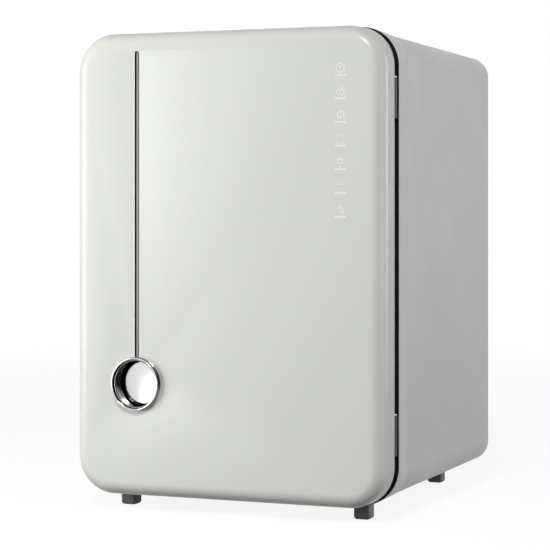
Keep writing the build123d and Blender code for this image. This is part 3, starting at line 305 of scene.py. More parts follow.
# finishes: rough is one value, or from, to and the noise's scale; bump is the noise's scale, its height in
# millimetres and its strength; tint is two colours and the noise's scale; detail and stretch may follow
finishValues = {
    # sprayed lacquer and powder coat
    "doorPearl": {
        "color": (217, 219, 213), "rough": (0.255, 0.27, 9), "bump": (900, 0.03, 0.35), "level": 0.3,
    },
    "rimGrey": {
        "color": (185, 186, 185), "rough": (0.36, 0.44, 25), "bump": (1300, 0.03, 0.35), "level": 0.3,
    },
    "casingGrey": {
        "color": (183, 184, 183), "rough": (0.38, 0.46, 25), "bump": (1500, 0.04, 0.4), "level": 0.3,
        "tint": ((181, 182, 181), (187, 188, 187), 9),
    },
    "frameGrey": {
        "color": (185, 186, 185), "rough": (0.34, 0.42, 25), "bump": (1300, 0.03, 0.35), "level": 0.3,
    },
    # black of the door's trim; on the front frame the same finish is painted shade in the seam
    "seamBlack": {
        "color": (32, 32, 33), "rough": 0.5, "bump": (1400, 0.03, 0.4), "level": 0.0,
        "tint": ((24, 24, 25), (42, 42, 43), 12),
    },
    "printWhite": {"color": (240, 241, 236), "rough": 0.5, "bump": (2500, 0.02, 0.3), "level": 0.3},
    # bright metal of the handle, and copies of it for the ring's walls and bead, darkened for painted shade
    # and streaked for painted reflections
    "chrome": {"color": (212, 213, 215), "metallic": 1.0, "rough": (0.1, 0.16, 60)},
    # painted shade: a dimmer chrome on the bead, so its glint is weaker
    "beadChrome": {"color": (178, 179, 181), "metallic": 1.0, "rough": (0.36, 0.44, 200)},
    "discSatin": {
        "color": (223, 223, 224), "metallic": 1.0, "rough": (0.2, 0.24, 300, 3.0, (1, 1, 12)),
        "bump": (700, 0.02, 0.4, 2.0, (1, 1, 14)),                     # brushed one way
    },
    # painted shade and reflections: the ring's outer wall as dark chrome with streaks of lighter tone
    "chromeWall": {
        "color": (96, 97, 100), "metallic": 1.0, "rough": (0.08, 0.2, 90),
        "tint": ((24, 24, 26), (168, 169, 172), 42, 1.0, (1, 0.15, 1)),
    },
    # painted reflection on the inner slope: its tones are set along a direction below
    "slopeWall": {"color": (96, 97, 100), "metallic": 1.0, "rough": (0.06, 0.14, 200)},
    # dark cup wall; the ramp added below paints reflections on it, brighter towards the lower left
    "cupWall": {
        "color": (14, 14, 15), "metallic": 1.0, "rough": (0.06, 0.16, 240, 3.0, (3, 0.15, 3)),
        "Specular_Tint": (0.64, 0.64, 0.64, 1),                        # no white at a flat angle
    },
    # the strip in the groove, drawn along its length: grey, with painted shade on its channel walls and a
    # painted highlight on its left lip
    "stripShade": {"color": (14, 14, 15), "rough": (0.24, 0.36, 200, 3.0, (1, 1, 0.05)), "level": 0.08},
    "stripGrey": {"color": (108, 109, 108), "metallic": 1.0, "rough": (0.3, 0.44, 260, 3.0, (1, 1, 0.05))},
    "stripHighlight": {
        "color": (204, 205, 202), "metallic": 0.6, "rough": (0.24, 0.36, 260, 3.0, (1, 1, 0.05)),
    },
    # metal parts and lamp glass
    "stainless": {
        "color": (196, 197, 199), "metallic": 1.0, "rough": (0.22, 0.38, 180, 4.0, (0.05, 0.05, 3)),
        "bump": (260, 0.03, 0.35, 4.0, (0.05, 0.05, 3)), "Anisotropic": 0.5,    # brushed along the sheet
    },
    "stainlessRod": {"color": (208, 209, 211), "metallic": 1.0, "rough": (0.14, 0.28, 220)},
    "steel": {"color": (168, 168, 170), "metallic": 1.0, "rough": (0.28, 0.45, 160)},
    "mirror": {"color": (224, 226, 228), "metallic": 1.0, "rough": (0.06, 0.18, 50)},
    "lampCap": {"color": (196, 198, 200), "metallic": 1.0, "rough": (0.22, 0.38, 240)},
    "heater": {"color": (150, 150, 152), "metallic": 1.0, "rough": (0.3, 0.5, 150), "bump": (400, 0.2, 0.6)},
    "hingeDark": {"color": (60, 60, 61), "rough": (0.34, 0.5, 150), "bump": (1400, 0.04, 0.4), "level": 0.2},
    "magnet": {"color": (60, 60, 62), "rough": (0.4, 0.6, 100), "bump": (900, 0.04, 0.4)},
    "quartz": {
        "color": (240, 246, 255), "rough": 0.02, "bump": (60, 0.1, 0.15),
        "Transmission_Weight": 0.96, "IOR": 1.46,
    },
    # moulded plastic, rubber and foam
    "innerWhite": {"color": (214, 216, 214), "rough": (0.45, 0.55, 30), "bump": (1400, 0.04, 0.4)},
    "darkPlastic": {"color": (34, 34, 35), "rough": (0.48, 0.62, 60), "bump": (1800, 0.06, 0.5)},
    "fan": {"color": (26, 26, 28), "rough": (0.36, 0.5, 80), "bump": (1500, 0.04, 0.4)},
    "wire": {"color": (28, 28, 30), "rough": (0.4, 0.6, 100), "bump": (900, 0.04, 0.4)},
    "rubber": {"color": (96, 97, 97), "rough": (0.52, 0.7, 90), "bump": (1600, 0.08, 0.5), "level": 0.3},
    "sealGrey": {"color": (86, 87, 88), "rough": (0.55, 0.75, 60), "bump": (1200, 0.06, 0.4)},
    "foam": {
        "color": (38, 38, 39), "rough": 0.95, "bump": (700, 0.8, 0.9, 4.0),
        "tint": ((22, 22, 23), (60, 60, 61), 700),
    },
    # electronics
    "board": {
        "color": (24, 96, 58), "rough": 0.35, "bump": (500, 0.05, 0.4),
        "tint": ((16, 78, 46), (30, 110, 68), 120),
    },
    "component": {
        "color": (52, 52, 56), "rough": 0.4, "bump": (900, 0.05, 0.4),
        "tint": ((38, 38, 42), (70, 70, 74), 60),
    },
}
finish = {name: newMaterial(name, **values) for name, values in finishValues.items()}

# painted reflections on the handle's walls: how far along a direction, and the tone there; white past the
# last
paintedReflections = {
    "origin": (body["handleX"], -175.0, body["handleZ"]),
    "toward": (-1.1, -0.8, -1.5),
    "cup": ((25.0, 14), (44.0, 190), (44.01, 255)),
    "cupStreak": 9.0,      # how far a streak draws a tone out
    "slope": ((0.0, 150), (43.0, 222), (43.01, 255)),
    "slopeStreak": 4.0,
    "streakScale": 260,
    "streakStretch": (1, 0.05, 1),
}
addPaintedReflections(finish["cupWall"], paintedReflections["cup"], paintedReflections["cupStreak"])
addPaintedReflections(finish["slopeWall"], paintedReflections["slope"], paintedReflections["slopeStreak"])
print("materials", len(finish))


def bodyRing(bm, inset, corner, y):
    # the body's outline drawn in by inset, at one depth
    width, height = body["width"] - 2 * inset, body["height"] - 2 * inset
    return addRing(bm, roundedOutline(width, height, corner, body["cornerSteps"]), y, 0, body["midZ"])


# door shell: soft front edge, a hole for the finger cup and a long groove above it
doorShell = {
    "corner": 39.5,
    "edge": 14.0,          # radius of the soft front edge
    "edgeSteps": 14,
    "innerSteps": 8,
    "support": 1.5,        # flat ring inside the soft edge, which keeps its shading clean
    "wall": 3.0,
    "frontWall": 3.5,
    "rimRound": 0.25,
    "holeRadius": 25.6,
    "holeSteps": 72,
    "grooveHalf": 2.75,
    "grooveTop": 466.0,
    "grooveDepth": 2.4,
    "grooveGap": 0.6,      # wall between the hole and the groove
    "lipRound": 0.35,      # small rounding of the groove and hole edges
    "lipSteps": 4,
    "edgeShadeColor": (190, 191, 190),   # painted shade: the coat's colour at the end of the soft edge
}


def slotOutline(half, low, high, steps=12):
    top = arcPoints(0, high - half, half, 0, 180, steps)
    return [(half, low)] + top + [(-half, low)]


def buildDoorShell():
    size = doorShell
    back, face, edge = body["doorBackY"], body["faceY"], size["edge"]
    bm = bmesh.new()

    def ring(inset, y):
        return bodyRing(bm, inset, size["corner"] - inset, y)

    def holeOutline(spread):
        return circlePoints(0, body["handleZ"], size["holeRadius"] + spread, size["holeSteps"])

    def grooveOutline(spread):
        low = body["handleZ"] + size["holeRadius"] + size["grooveGap"]
        return slotOutline(size["grooveHalf"] + spread, low, size["grooveTop"] + spread)

    def sinkOpening(outline, depth):
        # a rounded lip in the face, then a straight wall: gives the first and the last ring
        lip, x = size["lipRound"], body["handleX"]
        rings = []
        for angle in quarterTurn(size["lipSteps"]):
            rings.append(addRing(bm, outline(lip * (1 - sin(angle))), face + lip * (1 - cos(angle)), x))
        rings.append(addRing(bm, outline(0), face + depth, x))
        bridgeRings(bm, rings)
        return rings[0], rings[-1]

    outer = [ring(size["rimRound"], back), ring(0, back - size["rimRound"])]
    for angle in quarterTurn(size["edgeSteps"]):
        outer.append(ring(edge * (1 - cos(angle)), face + edge * (1 - sin(angle))))
    outer.append(ring(edge + size["support"], face))
    bridgeRings(bm, outer)
    holeFront, holeBack = sinkOpening(holeOutline, size["frontWall"])
    grooveFront, grooveFloor = sinkOpening(grooveOutline, size["grooveDepth"])
    fillFlat(bm, outer[-1], holeFront, grooveFront)
    bm.faces.new(grooveFloor)

    wall, innerFace = size["wall"], face + size["frontWall"]
    innerEdge = edge - wall
    inner = []
    for angle in reversed(quarterTurn(size["innerSteps"])):
        inner.append(ring(wall + innerEdge * (1 - cos(angle)), innerFace + innerEdge * (1 - sin(angle))))
    inner.append(ring(wall, back))
    bridgeRings(bm, inner + [outer[0]])
    fillFlat(bm, inner[0], holeBack)
    shell = makePiece(
        "door_shell", bm, finish["doorPearl"], "door", ["door_outer_panel"], "door_shell", sharp=40
    )
    paintFaces(shell, ["rimGrey"], lambda center: "rimGrey" if center.y > face + edge else None)
    coatFront = finishValues["doorPearl"]["color"]
    # painted shade over the soft front edge: the coat runs darker from the face to the end of the edge
    addEdgeShade(finish["doorPearl"], face, face + edge, coatFront, size["edgeShadeColor"])


buildDoorShell()
print("door shell")

# handle: bright ring with a fine step inside its crown, dark cup for the fingers, bare satin disc in it
handle = {
    "center": (body["handleX"], 0.0, body["handleZ"]),
    "steps": 128,
    "arcSteps": 6,
    "hub": 0.4,            # radius left open on the axis
    "ringOuter": 26.75,
    "ringInner": 23.3,
    "ringFrontY": -179.0,
    "footOuter": 27.2,     # the ring's foot on the door spreads a little
    "footHigh": 0.7,
    "footSlope": 0.3,
    "crownOuter": 26.6,
    "crownInner": 25.1,
    "crownRound": 0.75,
    "crownSide": 0.9,      # straight stretch outside, below the rounded crown
    "slopeStart": (25.05, 0.3),    # radius, and depth below the rounded crown
    "slopeEnd": (23.9, 2.4),
    "beadInner": 23.75,
    "beadRise": 0.1,
    "beadDepth": 0.35,
    "outsidePaint": 0.2,   # where the finishes with painted shade and reflections start, below the rounded crown
    "slopePaint": 0.05,
    "beadPaint": 0.1,      # outside the bead's inner radius
    "cupRadius": 24.3,
    "cupWall": 1.2,
    "cupFloor": 1.5,
    "cupRound": 2.0,
    "floorRound": 0.8,
    "cupBackY": -153.7,
    "discRadius": 21.9,
    "discY": -157.2,
    "discThick": 2.0,
    "discRound": 0.5,
    "discDish": 0.12,      # the disc's face lies this much below its rim
    "discRim": (1.6, 1.3),
}


def buildRing():
    size = handle
    face = body["faceY"]
    crownEnd = size["ringFrontY"] + size["crownRound"]
    middle = (size["crownOuter"] + size["crownInner"]) / 2
    half = (size["crownOuter"] - size["crownInner"]) / 2
    slopeRadius, slopeDepth = size["slopeEnd"]
    slopeEnd = crownEnd + slopeDepth
    beadEnd = slopeEnd + size["beadDepth"]
    footY = face - size["footHigh"]
    profile = [(size["ringInner"], face), (size["footOuter"], face), (size["footOuter"], footY)]
    profile.append((size["ringOuter"], footY - size["footSlope"]))
    profile.append((size["crownOuter"], crownEnd + size["crownSide"]))
    for degrees in range(0, 181, 12):
        angle = radians(degrees)
        profile.append((middle + half * cos(angle), crownEnd - size["crownRound"] * sin(angle)))
    profile += [(size["slopeStart"][0], crownEnd + size["slopeStart"][1]), (slopeRadius, slopeEnd)]
    profile += [(size["beadInner"], slopeEnd - size["beadRise"]), (size["ringInner"], beadEnd)]
    ring = turned(
        "handle_ring_turned", profile, size["center"], finish["chrome"], "door", steps=size["steps"],
        stands=["handle_ring"], slotName="bright_trim", sharp=50,
    )

    # the crown stays bright chrome; the outer wall, inner slope and bead get finishes with painted shade and
    # reflections
    def choose(center):
        radius = ((center.x - body["handleX"]) ** 2 + (center.z - body["handleZ"]) ** 2) ** 0.5
        beadRadius = size["beadInner"] + size["beadPaint"]
        if radius > middle and center.y > crownEnd + size["outsidePaint"]:
            return "chromeWall"
        if radius < middle and center.y > beadEnd:
            return "cupWall"
        if beadRadius < radius < middle and center.y > crownEnd + size["slopePaint"]:
            return "slopeWall"
        if radius < beadRadius:
            return "beadChrome"

    paintFaces(ring, ["chromeWall", "cupWall", "slopeWall", "beadChrome"], choose)


def buildCup():
    size = handle
    back, steps = size["cupBackY"], size["arcSteps"]
    outer, inner = size["cupRadius"] + size["cupWall"], size["cupRadius"]
    cupRound, floorRound = size["cupRound"], size["floorRound"]
    floor = back - size["cupFloor"]
    profile = [(inner, body["faceY"]), (outer, body["faceY"])]
    profile += arcPoints(outer - cupRound, back - cupRound, cupRound, 0, 90, steps)
    profile += [(size["hub"], back), (size["hub"], floor)]
    profile += arcPoints(inner - floorRound, floor - floorRound, floorRound, 90, 0, steps)
    turned(
        "handle_cup_turned", profile, size["center"], finish["cupWall"], "door", steps=size["steps"],
        stands=["handle_cup"], slotName="cup_dark",
    )


def buildDisc():
    size = handle
    radius, front = size["discRadius"], size["discY"]
    back, edge = front + size["discThick"], size["discRound"]
    dishEnd, rimStart = size["discRim"]
    dish = front + size["discDish"]
    profile = [(size["hub"], dish), (radius - dishEnd, dish), (radius - rimStart, front)]
    profile += arcPoints(radius - edge, front + edge, edge, -90, 0, size["arcSteps"])
    profile += [(radius, back), (size["hub"], back)]
    turned(
        "handle_disc_turned", profile, size["center"], finish["discSatin"], "door", steps=size["steps"],
        stands=["handle_disc"], slotName="satin_disc",
    )


# groove strip: a channel with rounded lips, satin floor, painted shade on the channel walls and a painted
# highlight on the left lip, round at its top end
grooveStrip = {
    "half": 2.65,
    "lipHalf": 2.4,
    "lipRound": 0.15,
    "lipDrop": 0.05,
    "channelHalf": 2.12,
    "floorHalf": 1.3,
    "top": 465.9,
    "topSteps": 16,
    "ringGap": 0.05,       # between the strip's foot and the handle's ring
    "backDepth": 2.4,      # from the door's face to the back of the strip
    "floorDepth": 1.5,
    "lipProud": 0.4,
    "lipSide": 0.1,
    "topWall": 3.2,        # how far down from the top end the wall stays light, without painted shade
    "wallMargin": 0.05,
    "floorMargin": 0.1,
}


def buildGrooveStrip():
    size = grooveStrip
    face, x = body["faceY"], body["handleX"]
    low = body["handleZ"] + handle["ringOuter"] + size["ringGap"]
    bm = bmesh.new()
    sections = [
        (size["half"], size["backDepth"]),
        (size["half"], -size["lipSide"]),
        (size["lipHalf"] + size["lipRound"], size["lipDrop"] - size["lipProud"]),
        (size["lipHalf"] - size["lipRound"], -size["lipProud"]),
        (size["channelHalf"], -size["lipSide"]),
        (size["floorHalf"], size["floorDepth"]),
    ]
    rings = []
    for half, depth in sections:
        outline = slotOutline(half, low, size["top"] - size["half"] + half, size["topSteps"])
        rings.append(addRing(bm, outline, face + depth, x))
    bridgeRings(bm, rings)
    bm.faces.new(rings[0])
    bm.faces.new(rings[-1])
    strip = makePiece(
        "groove_strip_formed", bm, finish["stripGrey"], "door", ["groove_strip"], "bright_trim", sharp=35
    )

    # painted shade on the channel's walls, painted highlight on the left lip
    def choose(center):
        across, depth = center.x - x, center.y - face
        inChannel = abs(across) < size["channelHalf"] + size["wallMargin"] and depth > -size["lipSide"]
        aboveFloor = depth < size["floorDepth"] - size["floorMargin"]
        if inChannel and aboveFloor and center.z < size["top"] - size["topWall"]:
            return "stripShade"
        if across < -size["channelHalf"] and depth < 0:
            return "stripHighlight"

    paintFaces(strip, ["stripShade", "stripHighlight"], choose)


buildGrooveStrip()
buildRing()
buildCup()
buildDisc()
print("groove strip and handle")

# casing: one wrap, drawn in towards the back, with a rounded rear rim and a flange for the cover
casing = {
    "frontInset": 4.1,
    "frontCorner": 26.4,
    "backInset": 11.0,
    "backCorner": 22.5,
    "wall": 2.5,
    "rearRound": 2.2,
    "rearSteps": 8,
    "frontRound": 0.5,
    "frontSteps": 4,
    "middleY": (-40.0, 20.0, 80.0, 140.0),
    "flangeY": (173.0, 171.0),     # rear and front face of the flange
    "flangeInset": 25.0,
    "flangeCorner": 10.0,
}


def buildCasing():
    size = casing
    front, back, wall = body["casingY"], body["backY"], size["wall"]
    rearRound, frontRound = size["rearRound"], size["frontRound"]
    bm = bmesh.new()

    def ring(y, extra=0.0):
        share = (y - front) / (back - front)
        inset = size["frontInset"] + (size["backInset"] - size["frontInset"]) * share + extra
        corner = size["frontCorner"] + (size["backCorner"] - size["frontCorner"]) * share - extra
        return bodyRing(bm, inset, corner, y)

    rings = [ring(front, wall)]
    for angle in quarterTurn(size["frontSteps"]):
        rings.append(ring(front + frontRound * (1 - cos(angle)), frontRound * (1 - sin(angle))))
    rings += [ring(y) for y in size["middleY"]]
    for angle in quarterTurn(size["rearSteps"]):
        rings.append(ring(back - rearRound * (1 - sin(angle)), rearRound * (1 - cos(angle))))
    flangeRear, flangeFront = size["flangeY"]
    rings += [ring(back, wall), ring(flangeRear, wall)]
    rings += [bodyRing(bm, size["flangeInset"], size["flangeCorner"], y) for y in size["flangeY"]]
    rings.append(ring(flangeFront, wall))
    bridgeRings(bm, rings, closed=True)
    makePiece("casing_wrap", bm, finish["casingGrey"], "cabinet", ["outer_casing"], "casing_shell", sharp=40)


buildCasing()
print("casing")

# front frame: flat face for the seal, flared side, mouth of the chamber
frontFrame = {
    "proud": 1.0,
    "frontCorner": 40.0,
    "backInset": 3.5,
    "backCorner": 27.0,
    "wall": 3.0,
    "edge": 1.2,
    "edgeSteps": 6,
    "rearRound": 0.4,
    "shadeBand": 8.5,       # painted shade: dark face opposite the trim, where the seam lies in shadow
    "bandFacing": -0.7,    # faces of the band look forward at least this much
    "mouth": (278.5, 386.5, 13.2, 12),     # width, height, corner, steps in a corner
    "switchAt": (-100.0, 472.0),
    "switch": (14.0, 7.6, 0.5, 3),
    "lipOuter": (7.3, 24.0),       # inset and corner of the lip inside the casing
    "lipInner": (9.0, 22.0),
    "lipEndY": -88.0,
    "taper": 4.0,          # how far before the back the inside meets the lip
}


def buildFrontFrame():
    size = frontFrame
    front, back, wall, edge = body["frameY"], body["frameBackY"], size["wall"], size["edge"]
    bm = bmesh.new()

    def ring(y, extra=0.0):
        share = (y - front) / (back - front)
        inset = -size["proud"] + (size["backInset"] + size["proud"]) * share + extra
        corner = size["frontCorner"] + (size["backCorner"] - size["frontCorner"]) * share - extra
        return bodyRing(bm, inset, corner, y)

    def cutOpening(outline, centerX, centerZ):
        rings = [addRing(bm, outline, y, centerX, centerZ) for y in (front, front + wall)]
        bridgeRings(bm, rings)
        return rings

    rings = [bodyRing(bm, *size["lipInner"], size["lipEndY"])]
    rings += [bodyRing(bm, *size["lipOuter"], y) for y in (size["lipEndY"], back)]
    rings += [ring(back, size["rearRound"]), ring(back - size["rearRound"]), ring((front + back) / 2)]
    for angle in quarterTurn(size["edgeSteps"]):
        rings.append(ring(front + edge * (1 - sin(angle)), edge * (1 - cos(angle))))
    rings.append(ring(front, size["shadeBand"]))
    bridgeRings(bm, rings)
    mouthFront, mouthBack = cutOpening(roundedOutline(*size["mouth"]), 0, body["chamberMidZ"])
    switchFront, switchBack = cutOpening(roundedOutline(*size["switch"]), *size["switchAt"])
    fillFlat(bm, rings[-1], mouthFront, switchFront)
    inner = [ring(front + wall, wall), bodyRing(bm, *size["lipInner"], back - size["taper"])]
    bridgeRings(bm, inner + [rings[0]])
    fillFlat(bm, inner[0], mouthBack, switchBack)
    piece = makePiece(
        "front_frame_face", bm, finish["frameGrey"], "cabinet", ["front_frame"], "frame_shell", sharp=40
    )
    # painted shade: the frame's face opposite the trim takes the black finish
    piece.data.materials.append(finish["seamBlack"])
    for polygon in piece.data.polygons:                                # the four-sided faces of the painted shade band
        if len(polygon.vertices) == 4 and polygon.normal.y < size["bandFacing"]:
            polygon.material_index = 1


buildFrontFrame()
print("front frame")

# soft seal on the door's back: a foot, a round bulb and a thin lip towards the frame
seal = {
    "footInset": (18.0, 27.0),
    "footThick": 2.2,
    "footSlope": 0.3,
    "bulbInset": 22.6,
    "bulbRadius": 3.7,
    "bulbY": -136.9,
    "bulbArc": (-45, 165, 14),     # from its inner side over the top: degrees and steps
    "lip": ((19.6, 2.4), (18.6, 3.4), (18.5, 1.0)),    # inset, and how far beyond the bulb's middle
    "lipRoot": 19.1,
}


def buildSeal():
    size = seal
    back = body["doorBackY"]
    outerInset, innerInset = size["footInset"]
    footTop = back + size["footThick"]
    section = [(outerInset, back), (innerInset, back), (innerInset - size["footSlope"], footTop)]
    section += arcPoints(size["bulbInset"], size["bulbY"], size["bulbRadius"], *size["bulbArc"])
    section += [(inset, size["bulbY"] + beyond) for inset, beyond in size["lip"]]
    section += [(size["lipRoot"], footTop), (outerInset + size["footSlope"], footTop)]
    bm = bmesh.new()
    rings = [bodyRing(bm, inset, doorShell["corner"] - inset, y) for inset, y in section]
    bridgeRings(bm, rings, closed=True)
    makePiece("door_seal_bulb", bm, finish["sealGrey"], "door", ["door_gasket"], "seal", sharp=50)


# lamps: clear tubes with metal caps and a coiled electrode at each end
lampTube = {
    "steps": 40,
    "tip": 0.3,            # radius left flat on the axis
    "cap": 11.0,
    "capRound": 0.8,
    "neck": 0.92,          # glass radius, as a share of the cap's
    "neckStep": 0.4,
    "stemStart": 9.0,
    "stemEnd": 22.0,
    "stemWire": 0.56,
    "coilStart": 21.0,
    "coilEnd": 33.0,
    "coilTurns": 6,
    "turnSteps": 12,
    "coilRadius": 2.2,
    "coilWire": 0.35,
}


def addTube(bm, points, radius, sides):
    sideways = Vector((0.13, 0.31, 0.94))                              # a direction that no tube runs along
    rings = []
    for n, point in enumerate(points):
        along = (points[min(n + 1, len(points) - 1)] - points[max(n - 1, 0)]).normalized()
        across = along.cross(sideways).normalized()
        upward = along.cross(across)
        angles = [2 * pi * k / sides for k in range(sides)]
        rings.append([bm.verts.new(point + radius * (cos(a) * across + sin(a) * upward)) for a in angles])
    bridgeRings(bm, rings)
    closeEnds(bm, rings)


def buildLamp(nodeName):
    size = lampTube
    low, high = nodeBox(nodeName)
    left, right = low.x, high.x
    y, z = (low.y + high.y) / 2, (low.z + high.z) / 2
    radius = (high.z - low.z) / 2
    glass = radius * size["neck"]
    half = [(size["tip"], 0), (radius - size["capRound"], 0), (radius, size["capRound"])]
    half += [(radius, size["cap"]), (glass, size["cap"] + size["neckStep"])]
    profile = [(around, left + along) for around, along in half] + [(glass, (left + right) / 2)]
    profile += [(around, right - along) for around, along in reversed(half)]
    lamp = turned(
        nodeName + "_tube", profile, (0, y, z), finish["quartz"], "cabinet", axis="X", steps=size["steps"],
        closed=False, stands=[nodeName], slotName="lamp_glass", sharp=40,
    )

    def choose(center):
        if center.x < left + size["cap"] or center.x > right - size["cap"]:
            return "lampCap"

    paintFaces(lamp, ["lampCap"], choose)
    bm = bmesh.new()
    for end, way in ((left, 1), (right, -1)):
        stem = [Vector((end + way * along, y, z)) * mm for along in (size["stemStart"], size["stemEnd"])]
        addTube(bm, stem, mm * size["stemWire"], 8)
        coil = []
        steps = size["coilTurns"] * size["turnSteps"]
        for n in range(steps + 1):
            angle = 2 * pi * n / size["turnSteps"]
            x = end + way * (size["coilStart"] + (size["coilEnd"] - size["coilStart"]) * n / steps)
            around = size["coilRadius"] * cos(angle), size["coilRadius"] * sin(angle)
            coil.append(Vector((x, y + around[0], z + around[1])) * mm)
        addTube(bm, coil, mm * size["coilWire"], 6)
    makePiece(nodeName + "_electrodes", bm, finish["steel"], "cabinet", slotName="lamp_glass", sharp=50)


# filter foam: a soft open-celled pad, a little crowned, drawn in at its edge
foamPad = {
    "steps": 44,
    "edge": 2.0,
    "crown": 0.35,
    "cell": 0.22,          # height of the open cells
    "cellCount": 34,
    "cellShift": 5.0,      # the two faces have other cells
    "clear": 0.3,
    "drawnIn": 0.24,
    "least": 0.05,         # half the thickness that is left at the rim
}


def buildFoam():
    size = foamPad
    low, high = nodeBox("air_filter")
    middle = (low + high) / 2
    halfX, halfZ, halfY = (high.x - low.x) / 2, (high.z - low.z) / 2, (high.y - low.y) / 2 - size["clear"]
    drawn = 1 - size["drawnIn"] / halfX
    count = size["steps"]
    bm = bmesh.new()

    def padPoint(side, u, v):
        reach = min(1 - abs(u), 1 - abs(v)) * halfX
        roll = min(reach / size["edge"], 1)
        rise = halfY * (1 - (1 - roll) ** 2) ** 0.5
        crown = size["crown"] * (1 - u * u) * (1 - v * v)
        place = Vector((u * size["cellCount"], v * size["cellCount"], side * size["cellShift"]))
        cells = size["cell"] * cellNoise.noise(place)
        height = max(rise - size["crown"] - size["cell"] + crown + cells * roll, size["least"])
        return middle + Vector((u * halfX * drawn, side * height, v * halfZ * drawn))

    shares = [2 * i / count - 1 for i in range(count + 1)]
    rims = []
    for side in (-1, 1):
        rows = [[bm.verts.new(padPoint(side, u, v) * mm) for v in shares] for u in shares]
        for i in range(count):
            for k in range(count):
                bm.faces.new((rows[i][k], rows[i + 1][k], rows[i + 1][k + 1], rows[i][k + 1]))
        rim = [rows[i][0] for i in range(count)] + [rows[count][k] for k in range(count)]
        rim += [rows[count - i][count] for i in range(count)] + [rows[0][count - k] for k in range(count)]
        rims.append(rim)
    bridgeRings(bm, rims)
    pad = makePiece("filter_foam_pad", bm, finish["foam"], "filter_cover", ["air_filter"], "foam", sharp=70)


buildSeal()
for lampNode in ("upper_lamp", "rear_lamp"):
    buildLamp(lampNode)
buildFoam()
print("seal, lamps and foam")

# icons: seven small generic signs printed in a column, a plain bar under each
icons = {
    "x": 125.0,
    "signZ": (443.2, 420.2, 397.3, 374.2, 352.0, 328.1, 306.1),
    "strokes": (1.0, 0.95, 0.9, 0.85, 0.85, 0.8, 0.9),
    "size": 9.0,
    "barZ": (436.3, 413.7, 390.6, 367.9, 345.0, 322.0, 298.9),
    "bar": (11.2, 1.7),
    "thick": 0.08,
    "sunk": 0.02,          # the print starts this far inside the face
}


def addStroke(bm, points, width, closed=False):
    # a flat raised line through points, given in millimetres on the door's face
    top, bottom = body["faceY"] - icons["thick"], body["faceY"] + icons["sunk"]
    count = len(points)
    rows = []
    for n, (x, z) in enumerate(points):
        before = points[n - 1] if closed or n else points[n]
        after = points[(n + 1) % count] if closed or n < count - 1 else points[n]
        dx, dz = after[0] - before[0], after[1] - before[1]
        reach = width / 2 / (dx * dx + dz * dz) ** 0.5
        left, right = (x - dz * reach, z + dx * reach), (x + dz * reach, z - dx * reach)
        corners = ((left, bottom), (left, top), (right, top), (right, bottom))
        rows.append([bm.verts.new((mm * u, mm * y, mm * v)) for (u, v), y in corners])
    bridgeRings(bm, rows, closed)
    if not closed:
        closeEnds(bm, rows)


def signStrokes():
    # the strokes of each sign about its middle, in units of half its size: (points, closed)
    power = [(circlePoints(0, 0, 0.94), True), ([(0, 0.02), (0, 0.5)], False)]
    warmAir = [
        (arcPoints(-0.36, -0.05, 0.5, 30, 300, 16), False),
        (circlePoints(0.42, -0.22, 0.52, 20), True),
        ([(-0.1, 0.62), (0.45, 0.72), (0.95, 0.9)], False),
    ]
    turningAir = [
        (arcPoints(-0.08, 0.05, 0.66, 40, 310, 18), False),
        ([(-0.2, 0.9), (0.85, 0.9), (0.85, -0.8)], False),
        ([(-0.2, 0.1), (0.35, -0.45)], False),
    ]
    shelves = [([(-0.8, -0.85), (0.8, -0.85), (0.8, 0.85), (-0.8, 0.85)], True)]
    shelves += [([(-0.8, z), (0.8, z)], False) for z in (-0.28, 0.28)]
    shelves += [([(x, -0.85), (x, 0.85)], False) for x in (-0.27, 0.27)]
    lampAndRays = [(circlePoints(0, 0.15, 0.46, 16), True)]
    for degrees in (22.5, 67.5, 112.5, 157.5, 202.5, 337.5):
        angle = radians(degrees)
        lampAndRays.append(([(far * cos(angle), 0.15 + far * sin(angle)) for far in (0.72, 1)], False))
    lampAndRays.append(([(-0.3, -0.92), (0.3, -0.92)], False))
    plates = [([(x, -0.75), (x + 0.1, 0.75)], False) for x in (-0.78, -0.3, 0.18, 0.68)]
    plates += [([(-0.85, z), (0.85, z)], False) for z in (-0.75, 0.0, 0.75)]
    leafAndDrop = [
        ([(0, 0.95), (-0.62, 0.2), (0, -0.3), (0.5, 0.25)], True),
        ([(-0.1, 0.6), (0.15, -0.9)], False),
        (circlePoints(0.55, -0.55, 0.28, 12), True),
    ]
    return power, warmAir, turningAir, shelves, lampAndRays, plates, leafAndDrop


def buildIcons():
    bm = bmesh.new()
    middle, half = icons["x"], icons["size"] / 2
    for z, width, strokes in zip(icons["signZ"], icons["strokes"], signStrokes()):
        for points, closed in strokes:
            addStroke(bm, [(middle + half * u, z + half * v) for u, v in points], width, closed)
    barLength, barWidth = icons["bar"]
    for z in icons["barZ"]:
        addStroke(bm, [(middle - barLength / 2, z), (middle + barLength / 2, z)], barWidth)
    makePiece("icon_print", bm, finish["printWhite"], "door", slotName="door_shell", sharp=30)


buildIcons()
print("icons")

